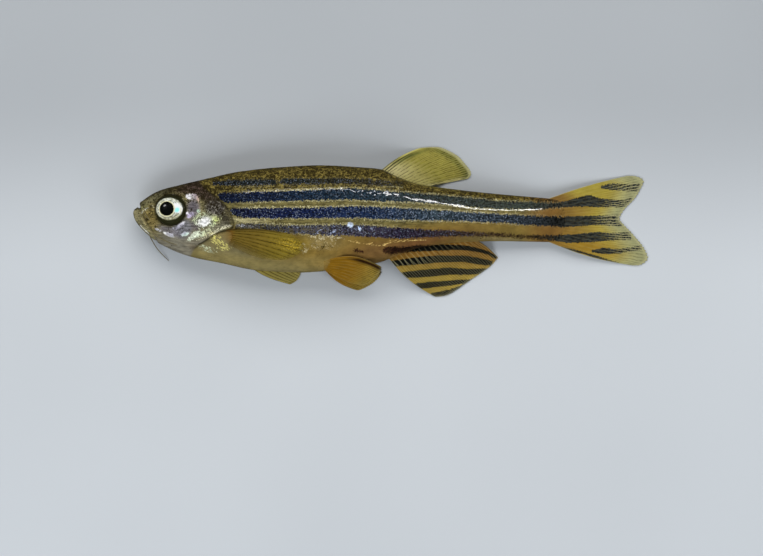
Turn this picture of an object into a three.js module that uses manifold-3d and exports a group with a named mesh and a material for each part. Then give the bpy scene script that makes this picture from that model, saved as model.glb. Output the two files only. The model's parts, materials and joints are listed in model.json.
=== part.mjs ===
// A zebra danio, male, life size, lying on its right flank with the left side up.
// Lengths are millimetres. Outlines are written as [distance behind the snout, height above the axis line],
// +X runs from snout to tail, +Y towards the back of the fish, and +Z up from the surface that it lies on.
// The whole body is lofted first and then parted with thin cuts. A fin is a sheet with its rays raised on it.

import * as THREE from 'three';
import { mergeVertices } from 'three/addons/utils/BufferGeometryUtils.js';
import Module from 'manifold-3d';

const wasm = await Module();
wasm.setup();

// Driving dimensions

const TOTAL_LENGTH = 34.06;
const BODY_LENGTH = 27.4;
const GAP = 0.25;
const MOUTH_GAP = 0.18;
const SHOULDER_CUT = 16.4;
const STALK_CUT = 22.6;

const EYE_CENTRE = [2.49, 0.8];
const EYE_RADIUS = 1.03;
const EYE_OUTWARD = 0.97;
const EYE_BULGE = 0.42;
const EYE_DEPTH = 0.5;
const EYE_TURN = THREE.MathUtils.degToRad(9);
const PUPIL_RADIUS = 0.45;
const ORBIT_RIM = 0.1;
const SOCKET_CLEARANCE = 0.2;

const GILL_COVER_THICKNESS = 0.5;
const GILL_COVER_LIFT = 0.07;
const LIP_RADIUS = 0.11;
const LIP_DISTANCE = 0.15;
const NOSTRIL_CENTRE = [1.17, 1.04];
const NOSTRIL_RADIUS = 0.14;

const FIN_ROOT_THICKNESS = 0.5;
const FIN_TIP_THICKNESS = 0.24;
const RAY_HEIGHT = 0.06;
const RAY_SHARE = 0.44;
const FIN_ROWS = 6;

const BARBEL_ROOT_RADIUS = 0.25;
const BARBEL_TIP_RADIUS = 0.1;

const RING_POINTS = 36;

// Smooth curves

// A curve y(x) through [x, y] points that never overshoots them: a cubic whose slope at each point
// is the harmonic mean of its two chords, and zero where they change sign.
function profile(points) {
  const last = points.length - 1;
  const chord = (i) => (points[i + 1][1] - points[i][1]) / (points[i + 1][0] - points[i][0]);
  const slopes = points.map((point, i) => {
    if (i === 0) return chord(0);
    if (i === last) return chord(last - 1);
    const before = chord(i - 1);
    const after = chord(i);
    return before * after > 0 ? (2 * before * after) / (before + after) : 0;
  });
  return (x) => {
    const inside = THREE.MathUtils.clamp(x, points[0][0], points[last][0]);
    let i = 0;
    while (i < last - 1 && inside > points[i + 1][0]) i += 1;
    const width = points[i + 1][0] - points[i][0];
    const t = (inside - points[i][0]) / width;
    const leave = points[i][1] * (1 - t) ** 2 * (1 + 2 * t) + width * slopes[i] * t * (1 - t) ** 2;
    const arrive = points[i + 1][1] * t ** 2 * (3 - 2 * t) - width * slopes[i + 1] * t ** 2 * (1 - t);
    return leave + arrive;
  };
}

function spline(points) {
  return new THREE.SplineCurve(points.map(([x, y]) => new THREE.Vector2(x, y)));
}

const mix = THREE.MathUtils.lerp;

// The left side of the fish faces up.
const side = { left: 1, right: -1 };

// The body's form

// The back rises in one sweep from a small step behind the upper lip, and falls along the dorsal fin's base.
const backLine = profile([
  [0, 0.61], [0.1, 0.86], [0.4, 0.94], [0.46, 1.16], [0.79, 1.54], [1.78, 2.1], [3.1, 2.46], [5.08, 2.92],
  [7.06, 3.34], [9.7, 3.62], [12.34, 3.75], [14.98, 3.62], [16.3, 3.5], [17.62, 2.94], [18.94, 2.51],
  [21.58, 2.13], [24.22, 1.85], [BODY_LENGTH, 1.58],
]);

const bellyLine = profile([
  [0, 0.61], [0.1, 0.22], [0.46, -0.31], [1.12, -0.94], [2.11, -1.6], [3.76, -2.26], [5.74, -2.67],
  [8.38, -3.19], [11.02, -3.31], [13.99, -3.06], [16.3, -2.64], [17.29, -2.26], [18.94, -1.7],
  [21.58, -1.33], [24.22, -1.25], [BODY_LENGTH, -1.3],
]);

const halfWidth = profile([
  [0, 0], [0.1, 0.3], [0.3, 0.5], [0.45, 0.6], [1, 0.85], [2, 1.12], [3, 1.32], [5.5, 1.68], [7, 1.82],
  [9, 1.96], [12, 2.05], [14, 2.02], [16, 1.85], [18, 1.6], [20, 1.33], [22, 1.06], [24, 0.82],
  [26, 0.58], [BODY_LENGTH, 0.42],
]);

// The height of the mid-plane over the table: the thin snout and tail sag towards it.
const midLevel = profile([
  [0, 1.5], [4, 1.66], [5.5, 1.7], [8, 1.92], [12, 1.98], [16, 1.83], [20, 1.42], [24, 0.98],
  [BODY_LENGTH, 0.68],
]);

// Exponents of the section above and below its widest level, where 2 is an ellipse.
const backSquareness = profile([[0, 2.3], [5, 2.2], [12, 2.05], [BODY_LENGTH, 2]]);
const bellySquareness = profile([[0, 2], [8, 2.1], [13, 2.1], [17, 1.75], [22, 1.8], [BODY_LENGTH, 2]]);
const WIDEST_SHARE = 0.52;

const widestHeight = (x) => mix(bellyLine(x), backLine(x), WIDEST_SHARE);

// A point of the section at x. Angle 0 faces up, a quarter turn is the back, and swell moves it outwards.
function sectionPoint(x, angle, swell) {
  const middle = widestHeight(x);
  const towardsBack = Math.sin(angle) >= 0;
  const reach = (towardsBack ? backLine(x) - middle : middle - bellyLine(x)) + swell;
  const power = 2 / (towardsBack ? backSquareness(x) : bellySquareness(x));
  const bend = (value) => Math.sign(value) * Math.abs(value) ** power;
  const y = middle + reach * bend(Math.sin(angle));
  const z = midLevel(x) + (halfWidth(x) + swell) * bend(Math.cos(angle));
  return [y, z];
}

// The level of the skin over the place [x, y], on the upper flank with side 1 and on the lower with side -1,
// or of a surface that stands off it by swell. Outside the fish's outline the level falls away steeply,
// so that a fin laid over the skin bends down there.
const EDGE_FALL = 2.5;
function skinLevel(x, y, which, swell = 0) {
  const middle = widestHeight(x);
  const reach = swell + (y >= middle ? backLine(x) - middle : middle - bellyLine(x));
  const power = y >= middle ? backSquareness(x) : bellySquareness(x);
  const share = Math.abs(y - middle) / reach;
  if (share >= 1) return midLevel(x) - which * EDGE_FALL * reach * (share - 1);
  return midLevel(x) + which * (halfWidth(x) + swell) * (1 - share ** power) ** (1 / power);
}

// Stations of the loft: close together at the lips, wider along the trunk.
function bodyStations() {
  const stations = [0.04, 0.12, 0.25, 0.38, 0.46, 0.6, 0.8, 1.1];
  for (let x = 1.45; x < 6.2; x += 0.4) stations.push(x);
  for (let x = 6.4; x < BODY_LENGTH - 0.3; x += 0.62) stations.push(x);
  stations.push(BODY_LENGTH);
  return stations;
}

// Solids

function solidFromGeometry(geometry) {
  const bare = geometry.clone();
  bare.deleteAttribute('normal');
  bare.deleteAttribute('uv');
  const merged = mergeVertices(bare, 1e-5);
  return new wasm.Manifold(new wasm.Mesh({
    numProp: 3,
    vertProperties: new Float32Array(merged.attributes.position.array),
    triVerts: new Uint32Array(merged.index.array),
  }));
}

function geometryFromFaces(points, faces) {
  const geometry = new THREE.BufferGeometry();
  geometry.setAttribute('position', new THREE.Float32BufferAttribute(points.flat(), 3));
  geometry.setIndex(faces.flat());
  return geometry;
}

// The faces of a cut solid, with corners that the cut left almost touching merged into the lower of the two,
// and the faces that this closes dropped.
const CORNER_MERGE = 0.02;
function weldedGeometry(solid) {
  const { vertProperties, triVerts } = solid.getMesh();
  const point = (i) => new THREE.Vector3().fromArray(vertProperties, 3 * i);
  const merged = Array.from({ length: vertProperties.length / 3 }, (unused, i) => i);
  const kept = (i) => (merged[i] === i ? i : kept(merged[i]));
  const triangles = [];
  for (let i = 0; i < triVerts.length; i += 3) triangles.push([...triVerts.slice(i, i + 3)]);
  for (const [a, b, c] of triangles) {
    for (const [i, j] of [[a, b], [b, c], [c, a]]) {
      const [first, second] = [kept(i), kept(j)];
      if (first !== second && point(first).distanceTo(point(second)) < CORNER_MERGE) {
        const low = point(first).z <= point(second).z ? first : second;
        merged[low === first ? second : first] = low;
      }
    }
  }
  const open = triangles
    .map((corners) => corners.map(kept))
    .filter(([a, b, c]) => a !== b && b !== c && c !== a);
  const key = (corners) => [...corners].sort((a, b) => a - b).join();
  const times = new Map();
  for (const corners of open) times.set(key(corners), (times.get(key(corners)) ?? 0) + 1);
  const faces = open.filter((corners) => times.get(key(corners)) === 1);
  const used = [...new Set(faces.flat())];
  const place = new Map(used.map((old, i) => [old, i]));
  const points = used.map((i) => point(i).toArray());
  return geometryFromFaces(points, faces.map((corners) => corners.map((i) => place.get(i))));
}

function largestPiece(solid) {
  const pieces = solid.decompose();
  return pieces.reduce((best, piece) => (piece.volume() > best.volume() ? piece : best));
}

// The whole body as one closed skin, moved outwards by swell all round. A negative swell takes away no more
// than most of the half width, so that the thin ends keep a core.
const MOST_TAKEN = 0.8;
function bodySolid(swell) {
  const stations = bodyStations();
  const stretched = (x) => x + swell * (2 * x / BODY_LENGTH - 1);
  const points = [[stretched(0), widestHeight(0), midLevel(0)]];
  for (const x of stations) {
    const growth = Math.max(swell, -MOST_TAKEN * halfWidth(x));
    for (let k = 0; k < RING_POINTS; k += 1) {
      const angle = (k / RING_POINTS) * 2 * Math.PI;
      points.push([stretched(x), ...sectionPoint(x, angle, growth)]);
    }
  }
  points.push([stretched(BODY_LENGTH), widestHeight(BODY_LENGTH), midLevel(BODY_LENGTH)]);
  const faces = [];
  const at = (ring, k) => 1 + ring * RING_POINTS + (k % RING_POINTS);
  const tailPole = points.length - 1;
  for (let k = 0; k < RING_POINTS; k += 1) {
    faces.push([0, at(0, k), at(0, k + 1)]);
    for (let ring = 0; ring < stations.length - 1; ring += 1) {
      faces.push([at(ring, k), at(ring + 1, k), at(ring + 1, k + 1)]);
      faces.push([at(ring, k), at(ring + 1, k + 1), at(ring, k + 1)]);
    }
    faces.push([tailPole, at(stations.length - 1, k + 1), at(stations.length - 1, k)]);
  }
  return solidFromGeometry(geometryFromFaces(points, faces));
}

// A prism that stands through the whole fish on an outline of [x, y] points.
const PRISM_BOTTOM = -2;
const PRISM_HEIGHT = 10;
const OUTSIDE = 8;
const AROUND_FISH = [
  [-OUTSIDE, -OUTSIDE], [TOTAL_LENGTH + OUTSIDE, -OUTSIDE],
  [TOTAL_LENGTH + OUTSIDE, OUTSIDE], [-OUTSIDE, OUTSIDE],
];
function prism(outline, bottom = PRISM_BOTTOM, height = PRISM_HEIGHT) {
  const shape = new THREE.Shape(outline.map(([x, y]) => new THREE.Vector2(x, y)));
  const geometry = new THREE.ExtrudeGeometry(shape, { depth: height, bevelEnabled: false });
  geometry.translate(0, 0, bottom);
  return solidFromGeometry(geometry);
}

// A line moved sideways, to its left by a positive distance. A closed outline that runs clockwise grows.
function sideLine(line, distance, closed = false) {
  const count = line.length;
  const neighbour = (i) => line[closed ? (i + count) % count : THREE.MathUtils.clamp(i, 0, count - 1)];
  return line.map(([x, y], i) => {
    const [x0, y0] = neighbour(i - 1);
    const [x1, y1] = neighbour(i + 1);
    const length = Math.hypot(x1 - x0, y1 - y0);
    return [x - distance * (y1 - y0) / length, y + distance * (x1 - x0) / length];
  });
}

// A thin wall that cuts the body along a line.
function kerf(line, width) {
  return prism([...sideLine(line, -width / 2), ...sideLine(line, width / 2).reverse()]);
}

const straightKerf = (x) => kerf([[x, OUTSIDE], [x, -OUTSIDE]], GAP);

// Where the head ends: up the nape, and down the rear edge of the gill cover.
const GILL_OPENING = [
  [4.3, 4.2], [4.16, 3.06], [4.81, 2.15], [5.61, 1.5], [6.22, 0.82], [6.59, -0.05], [6.4, -0.42],
  [5.57, -0.67], [4.66, -1.25], [4.24, -1.5], [3.83, -2.09], [3.7, -2.62], [3.65, -3.4],
];
const GILL_COVER_FRONT = [
  [3.78, 2], [3.74, 0.94], [3.57, 0.1], [3.05, -0.8], [2.97, -1.1], [3.4, -1.38], [4.1, -1.5],
];
const MOUTH_LINE = [[0.38, 1.3], [0.42, 1.04], [0.55, 0.61], [0.73, 0.25], [0.96, -0.11]];
const JAW_REAR = [[1.25, -0.64], [1.65, -1.56], [1.85, -2.1]];

// A lathed eyeball, flattened along its axis and turned a little forwards. The pupil's lens stands proud.
// With a clearance it is the plain hollow that the eye sits in.
function eyeSolid(which, clearance) {
  const radius = EYE_RADIUS + clearance;
  const back = EYE_DEPTH + clearance;
  const front = EYE_BULGE + clearance;
  const outline = [[0, -back]];
  for (const turn of [0.3, 0.6, 0.85, 1]) {
    outline.push([radius * Math.sin(turn * Math.PI / 2), -back * Math.cos(turn * Math.PI / 2)]);
  }
  for (const turn of [0.82, 0.6, 0.38]) {
    outline.push([radius * Math.sin(turn * Math.PI / 2), front * Math.cos(turn * Math.PI / 2)]);
  }
  if (clearance === 0) outline.push([PUPIL_RADIUS, 0.92 * front], [0.85 * PUPIL_RADIUS, 1.04 * front]);
  outline.push([0, 1.1 * front]);
  const eye = new THREE.LatheGeometry(outline.map(([r, height]) => new THREE.Vector2(r, height)), 20);
  eye.rotateX(which * Math.PI / 2);
  eye.rotateY(-which * EYE_TURN);
  eye.translate(EYE_CENTRE[0], EYE_CENTRE[1], midLevel(EYE_CENTRE[0]) + which * EYE_OUTWARD);
  return solidFromGeometry(eye);
}

// A round rod along points in space, with a radius for each end and closed by cones, for barbels and lips.
function rod(points, startRadius, endRadius, steps, sides) {
  const path = new THREE.CatmullRomCurve3(points.map((point) => new THREE.Vector3(...point)));
  const frames = path.computeFrenetFrames(steps, false);
  const ring = [];
  for (let i = 0; i <= steps; i += 1) {
    const centre = path.getPointAt(i / steps);
    const radius = mix(startRadius, endRadius, i / steps);
    for (let k = 0; k < sides; k += 1) {
      const angle = (k / sides) * 2 * Math.PI;
      const out = frames.normals[i].clone().multiplyScalar(radius * Math.cos(angle));
      out.addScaledVector(frames.binormals[i], radius * Math.sin(angle));
      ring.push(centre.clone().add(out).toArray());
    }
  }
  const first = path.getPointAt(0).addScaledVector(frames.tangents[0], -0.5 * startRadius).toArray();
  const last = path.getPointAt(1).addScaledVector(frames.tangents[steps], 0.8 * endRadius).toArray();
  const vertices = [...ring, first, last];
  const at = (i, k) => i * sides + (k % sides);
  const faces = [];
  for (let k = 0; k < sides; k += 1) {
    faces.push([ring.length, at(0, k + 1), at(0, k)]);
    for (let i = 0; i < steps; i += 1) {
      faces.push([at(i, k), at(i, k + 1), at(i + 1, k + 1)]);
      faces.push([at(i, k), at(i + 1, k + 1), at(i + 1, k)]);
    }
    faces.push([ring.length + 1, at(steps, k), at(steps, k + 1)]);
  }
  return solidFromGeometry(geometryFromFaces(vertices, faces));
}

// Fins

// A fin is a sheet between its root line and its free margin. Across it run the rays, each a low ridge on
// both faces, and along a ray the sheet thins from root to margin. level gives the height of the sheet's
// middle surface from the share along the ray, the share across the fin, and the place. bow bends the first
// and the last ray sideways in the plane of the fin. With a clearance it is the plain hollow round the fin.
function finSolid({ root, margin, rays, level, bow }, clearance = 0) {
  const rootLine = spline(root);
  const marginLine = spline(margin);

  function place(u, v) {
    const start = rootLine.getPointAt(v);
    const ray = marginLine.getPointAt(v).sub(start);
    const length = ray.length();
    const sideways = new THREE.Vector2(-ray.y, ray.x).divideScalar(length);
    const bulge = mix(bow[0], bow[1], v) * Math.sin(Math.PI * u) + mix(clearance, -clearance, v);
    const reach = u + mix(-clearance, clearance, u) / length;
    const spot = start.addScaledVector(ray, reach).addScaledVector(sideways, bulge);
    return new THREE.Vector3(spot.x, spot.y, level(u, v, spot.x, spot.y));
  }

  function facing(u, v) {
    const step = 0.01;
    const alongRay = place(u + step, v).sub(place(u - step, v));
    const across = place(u, Math.min(1, v + step)).sub(place(u, Math.max(0, v - step)));
    const normal = alongRay.cross(across).normalize();
    return normal.z < 0 ? normal.negate() : normal;
  }

  const columns = [[0, 0]];
  for (let ray = 0; ray < rays; ray += 1) {
    for (const [share, height] of [[0.5 - RAY_SHARE / 2, 0], [0.5, 1], [0.5 + RAY_SHARE / 2, 0]]) {
      columns.push([(ray + share) / rays, height]);
    }
  }
  columns.push([1, 0]);

  const upper = [];
  const lower = [];
  for (let i = 0; i <= FIN_ROWS; i += 1) {
    const u = i / FIN_ROWS;
    const sheet = mix(FIN_ROOT_THICKNESS, FIN_TIP_THICKNESS, u) + 2 * clearance;
    for (const [v, height] of columns) {
      const ridge = clearance > 0 ? 0 : RAY_HEIGHT * height * (1 - 0.5 * u);
      const offset = facing(u, v).multiplyScalar(sheet / 2 + ridge);
      const middle = place(u, v);
      upper.push(middle.clone().add(offset).toArray());
      const below = middle.clone().sub(offset);
      below.z = clearance > 0 ? below.z : Math.max(0, below.z);
      lower.push(below.toArray());
    }
  }

  const width = columns.length;
  const at = (i, j) => i * width + j;
  const under = upper.length;
  const faces = [];
  const quad = (a, b, c, d) => faces.push([a, b, c], [a, c, d]);
  for (let i = 0; i < FIN_ROWS; i += 1) {
    for (let j = 0; j < width - 1; j += 1) {
      const [a, b, c, d] = [at(i, j), at(i + 1, j), at(i + 1, j + 1), at(i, j + 1)];
      quad(a, b, c, d);
      faces.push([under + a, under + c, under + b], [under + a, under + d, under + c]);
    }
    quad(at(i, 0), under + at(i, 0), under + at(i + 1, 0), at(i + 1, 0));
    const end = width - 1;
    quad(at(i + 1, end), under + at(i + 1, end), under + at(i, end), at(i, end));
  }
  for (let j = 0; j < width - 1; j += 1) {
    quad(at(0, j + 1), under + at(0, j + 1), under + at(0, j), at(0, j));
    quad(at(FIN_ROWS, j), under + at(FIN_ROWS, j), under + at(FIN_ROWS, j + 1), at(FIN_ROWS, j + 1));
  }
  const points = [...upper, ...lower];
  const solid = solidFromGeometry(geometryFromFaces(points, faces));
  if (solid.volume() > 0) return solid;
  const turnedFaces = faces.map(([a, b, c]) => [a, c, b]);
  return solidFromGeometry(geometryFromFaces(points, turnedFaces));
}

// A fin's middle surface leaves its root level, bends down and lies flat on the table at its margin.
const MARGIN_LEVEL = FIN_TIP_THICKNESS / 2;
const settle = (u) => THREE.MathUtils.smoothstep(u, 0, 1);
const droop = (rootLevel, u) => mix(rootLevel, MARGIN_LEVEL, settle(u));

const dorsalFin = {
  root: [16.1, 16.9, 17.8, 18.7].map((x) => [x, backLine(x) + GAP]),
  margin: [
    [19.0, 4.88], [19.82, 4.93], [20.5, 4.85], [21.44, 4.4], [21.87, 3.97], [22.28, 3.45], [22.34, 3.12],
    [22.15, 2.88],
  ],
  rays: 9,
  bow: [0.2, 0],
  level: (u, v) => droop(midLevel(mix(16.5, 18.7, v)), u),
};

const analFin = {
  root: [16.8, 17.9, 19.4, 20.8, 22.2].map((x) => [x, bellyLine(x) - GAP]),
  margin: [[20, -4.92], [20.92, -4.76], [22.24, -3.88], [23.56, -2.97], [24.11, -2.34]],
  rays: 13,
  bow: [-0.27, 0.15],
  level: (u, v) => droop(midLevel(mix(16.8, 22.5, v)), u),
};

const FORK_LINE = 0.17;
const TAIL_ROOT = BODY_LENGTH + GAP;
const upperLobe = {
  root: [[TAIL_ROOT, backLine(BODY_LENGTH)], [TAIL_ROOT, FORK_LINE + GAP / 2]],
  margin: [
    [32.67, 3.08], [33.27, 3.04], [33.76, 2.76], [33.55, 2.2], [33.2, 1.6], [32.6, 0.98], [32.3, 0.6],
    [32.18, FORK_LINE + GAP / 2],
  ],
  rays: 9,
  bow: [0.1, 0],
  level: (u) => droop(midLevel(BODY_LENGTH), u),
};

const lowerLobe = {
  root: [[TAIL_ROOT, FORK_LINE - GAP / 2], [TAIL_ROOT, bellyLine(BODY_LENGTH)]],
  margin: [
    [32.18, FORK_LINE - GAP / 2], [32.48, -0.2], [33.1, -0.85], [33.75, -1.65], [34.05, -2.39], [33.6, -2.8],
    [33.07, -2.86],
  ],
  rays: 10,
  bow: [0, -0.22],
  level: (u) => droop(midLevel(BODY_LENGTH), u),
};

// The left pectoral lies back along the flank, the right one slips out from under the belly.
const ON_SKIN = GAP + FIN_ROOT_THICKNESS / 2 + RAY_HEIGHT;
const pectoralLeft = {
  root: [[6.34, -0.57], [6.34, -1.3]],
  margin: [[10.5, -0.81], [11.16, -1.4], [11.02, -2.03], [10.03, -2.46], [8.51, -2.39]],
  rays: 11,
  bow: [0.2, -0.1],
  level: (u, v, x, y) => skinLevel(x, y, side.left, ON_SKIN),
};

const pectoralRight = {
  root: [[6.47, -0.84], [6.34, -1.43]],
  margin: [[11.09, -3.3], [11.02, -3.56], [10.78, -3.9], [10.4, -4.12]],
  rays: 9,
  bow: [0.15, -0.52],
  level: (u) => mix(0.5, MARGIN_LEVEL, settle(u)),
};

// The left pelvic stands off the belly between these levels, from its upper to its lower edge.
const PELVIC_ROOT_LEVELS = [3.5, 2.6];
const PELVIC_MARGIN_LEVELS = [2.9, 1.4];
const pelvicLeft = {
  root: [[12.81, -2.62], [12.81, -3.15]],
  margin: [[16.4, -2.94], [16.34, -3.28], [15.71, -3.94], [15.18, -4.17]],
  rays: 8,
  bow: [0.46, -0.2],
  level: (u, v, x, y) => {
    const standing = mix(mix(...PELVIC_ROOT_LEVELS, v), mix(...PELVIC_MARGIN_LEVELS, v), u);
    return Math.max(skinLevel(x, y, side.left, ON_SKIN), standing);
  },
};

const pelvicRight = {
  root: [[12.81, -2.75], [12.81, -3.25]],
  margin: [[16.36, -3.12], [16.37, -3.45], [15.84, -4.04], [15.05, -4.46], [14.72, -4.48]],
  rays: 8,
  bow: [0.3, -0.2],
  level: (u, v, x, y) => {
    const underBelly = skinLevel(x, y, side.right, ON_SKIN);
    return Math.max(MARGIN_LEVEL, Math.min(underBelly, droop(1, u)));
  },
};

// Head

const LIP_SINK = 0.04;

// A lip runs from the left corner of the mouth over the snout to the right corner, beside the mouth line.
function lipSolid(distance) {
  const line = sideLine(MOUTH_LINE.slice(1), distance);
  const [frontX] = line[0];
  const flank = (which) => line.slice(1).map(([x, y]) => [x, y, skinLevel(x, y, which)]);
  const tip = [frontX, backLine(frontX) - LIP_SINK, midLevel(frontX)];
  return rod([...flank(side.left).reverse(), tip, ...flank(side.right)], LIP_RADIUS, LIP_RADIUS, 14, 6);
}

// Half of the low rim round an eye, as a rod that follows the skin and is sunk a little into it. The two
// halves overlap at their ends.
const RIM_SINK = 0.03;
const HALF_RIM_ANGLE = 1.1 * Math.PI;
function orbitRim(which, startAngle) {
  const radius = EYE_RADIUS + SOCKET_CLEARANCE + ORBIT_RIM;
  const points = [];
  for (let i = 0; i <= 8; i += 1) {
    const angle = startAngle + (i / 8) * HALF_RIM_ANGLE;
    const x = EYE_CENTRE[0] + radius * Math.cos(angle);
    const y = EYE_CENTRE[1] + radius * Math.sin(angle);
    points.push([x, y, skinLevel(x, y, which) - which * RIM_SINK]);
  }
  return rod(points, ORBIT_RIM, ORBIT_RIM, 10, 5);
}

function nostrilPit(which) {
  const pit = new THREE.SphereGeometry(NOSTRIL_RADIUS, 10, 6);
  pit.scale(1, 0.8, 1.2);
  pit.translate(NOSTRIL_CENTRE[0], NOSTRIL_CENTRE[1], skinLevel(...NOSTRIL_CENTRE, which));
  return solidFromGeometry(pit);
}

// All that lies above the mid-plane of the head, or below it for the right side.
function flankHalf(which) {
  const middle = midLevel(EYE_CENTRE[0]);
  return prism(AROUND_FISH, which === side.left ? middle : middle - PRISM_HEIGHT);
}

// A barbel that lies on a flank, through [x, y, height over the skin] points.
function barbelOnSkin(which, points, rootRadius) {
  const path = points.map(([x, y, lift]) => [x, y, skinLevel(x, y, which, lift)]);
  return rod(path, rootRadius, BARBEL_TIP_RADIUS, 9, 8);
}

// Assembly

const bothSides = [side.left, side.right];
const lips = [lipSolid(LIP_DISTANCE), lipSolid(-LIP_DISTANCE)];
const rims = bothSides.flatMap((which) => [orbitRim(which, 0), orbitRim(which, Math.PI)]);
const body = [...lips, ...rims].reduce((whole, detail) => whole.add(detail), bodySolid(0));
const aboveTable = prism(AROUND_FISH, 0);

const parted = body
  .intersect(aboveTable)
  .subtract(kerf([...MOUTH_LINE, ...JAW_REAR], MOUTH_GAP))
  .subtract(kerf(GILL_OPENING, GAP))
  .subtract(straightKerf(SHOULDER_CUT))
  .subtract(straightKerf(STALK_CUT));
const CRUMB_VOLUME = 0.1;
const [lowerJaw, uncutHead, uncutTrunk, tail, tailStalk] = parted
  .decompose()
  .filter((piece) => piece.volume() > CRUMB_VOLUME)
  .sort((a, b) => a.boundingBox().min[0] - b.boundingBox().min[0]);

// The gill covers are shells let into the sides of the head.
const coverRear = sideLine(GILL_OPENING.slice(2, 10), -GAP / 2);
const coverOutline = [...GILL_COVER_FRONT, ...coverRear.reverse()];
const coverShell = bodySolid(GILL_COVER_LIFT).subtract(bodySolid(-GILL_COVER_THICKNESS));
const coverPocket = prism(sideLine(coverOutline, -GAP, true))
  .subtract(bodySolid(-GILL_COVER_THICKNESS - GAP));

const eyes = bothSides.map((which) => eyeSolid(which, 0));
const sockets = bothSides.map((which) => eyeSolid(which, SOCKET_CLEARANCE));
const head = [coverPocket, ...sockets, ...bothSides.map(nostrilPit)]
  .reduce((rest, cut) => rest.subtract(cut), uncutHead);
const bothCovers = coverShell.intersect(prism(coverOutline)).intersect(aboveTable);
const gillCovers = bothSides.map((which) => bothCovers.intersect(flankHalf(which)));

const FIN_HOLLOW = 0.28;
const trunk = uncutTrunk.subtract(finSolid(pectoralRight, FIN_HOLLOW));

// The two long barbels hang from the corners of the mouth. The right one passes under the chin to the table,
// so its points are [x, y, z]. The left one and the two short ones lie on the skin.
const BARBEL_LIFT = GAP + BARBEL_ROOT_RADIUS;
const rightMaxillary = [
  [1.25, -0.35, 0.3], [1.2, -0.9, 0.32], [1.35, -1.35, 0.3], [1.7, -1.9, 0.22], [2.34, -2.55, 0.13],
];
const leftMaxillary = [
  [1.15, -0.25, BARBEL_LIFT], [1.32, -0.7, 0.52], [1.75, -1.08, 0.55], [2.35, -1.38, 0.5], [2.95, -1.58, 0.4],
];
const rostral = [[0.78, 0.9, 0.45], [0.86, 0.55, 0.44], [1.12, 0.15, 0.42]];
const ROSTRAL_ROOT_RADIUS = 0.8 * BARBEL_ROOT_RADIUS;
const longBarbels = [
  barbelOnSkin(side.left, leftMaxillary, BARBEL_ROOT_RADIUS),
  rod(rightMaxillary, BARBEL_ROOT_RADIUS, BARBEL_TIP_RADIUS, 9, 8),
];

const model = new THREE.Group();
model.name = 'zebra_danio';
model.position.x = -TOTAL_LENGTH / 2;

const materials = {
  back: { color: 0x6e6a45, roughness: 0.35 },
  flank: { color: 0x8c8a6a, roughness: 0.3 },
  silver: { color: 0xb9bcc0, roughness: 0.22, metalness: 0.35 },
  jaw: { color: 0x9c9b7c, roughness: 0.4 },
  fin: { color: 0xb39a45, roughness: 0.4 },
  eye: { color: 0xd9d7b0, roughness: 0.1 },
  barbel: { color: 0x8a8160, roughness: 0.5 },
};

function addPiece(name, solid, finish) {
  const geometry = weldedGeometry(largestPiece(solid));
  geometry.computeVertexNormals();
  const mesh = new THREE.Mesh(geometry, new THREE.MeshStandardMaterial(finish));
  mesh.name = name;
  model.add(mesh);
}

addPiece('head', head, materials.back);
addPiece('lower_jaw', lowerJaw, materials.jaw);
addPiece('trunk', trunk, materials.flank);
addPiece('tail', tail, materials.flank);
addPiece('tail_stalk', tailStalk, materials.flank);
['left', 'right'].forEach((name, i) => {
  addPiece(`eye_${name}`, eyes[i], materials.eye);
  addPiece(`gill_cover_${name}`, gillCovers[i], materials.silver);
  addPiece(`barbel_maxillary_${name}`, longBarbels[i], materials.barbel);
  const rostralBarbel = barbelOnSkin(side[name], rostral, ROSTRAL_ROOT_RADIUS);
  addPiece(`barbel_rostral_${name}`, rostralBarbel, materials.barbel);
});
addPiece('pectoral_fin_left', finSolid(pectoralLeft), materials.fin);
addPiece('pectoral_fin_right', finSolid(pectoralRight), materials.fin);
addPiece('pelvic_fin_left', finSolid(pelvicLeft), materials.fin);
addPiece('pelvic_fin_right', finSolid(pelvicRight), materials.fin);
addPiece('dorsal_fin', finSolid(dorsalFin), materials.fin);
addPiece('anal_fin', finSolid(analFin), materials.fin);
addPiece('caudal_fin_upper', finSolid(upperLobe), materials.fin);
addPiece('caudal_fin_lower', finSolid(lowerLobe), materials.fin);

export default model;
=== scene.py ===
# %% [markdown]
# # A zebra danio, life size, lying on its right flank
# The real fish is 34 mm long. Its solids come from the CAD model, and this notebook dresses them: one skin
# over head, trunk and tail, then eyes, barbels and fins, each as a surface worked out with numpy. Every
# length below is in millimetres. A place on the fish is measured behind the snout and above its axis line,
# because a maker can check such numbers on the fish. Lengths become metres only where Blender takes them.

import json
from types import SimpleNamespace

import bpy
import numpy as np
from mathutils import Matrix, Vector

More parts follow.
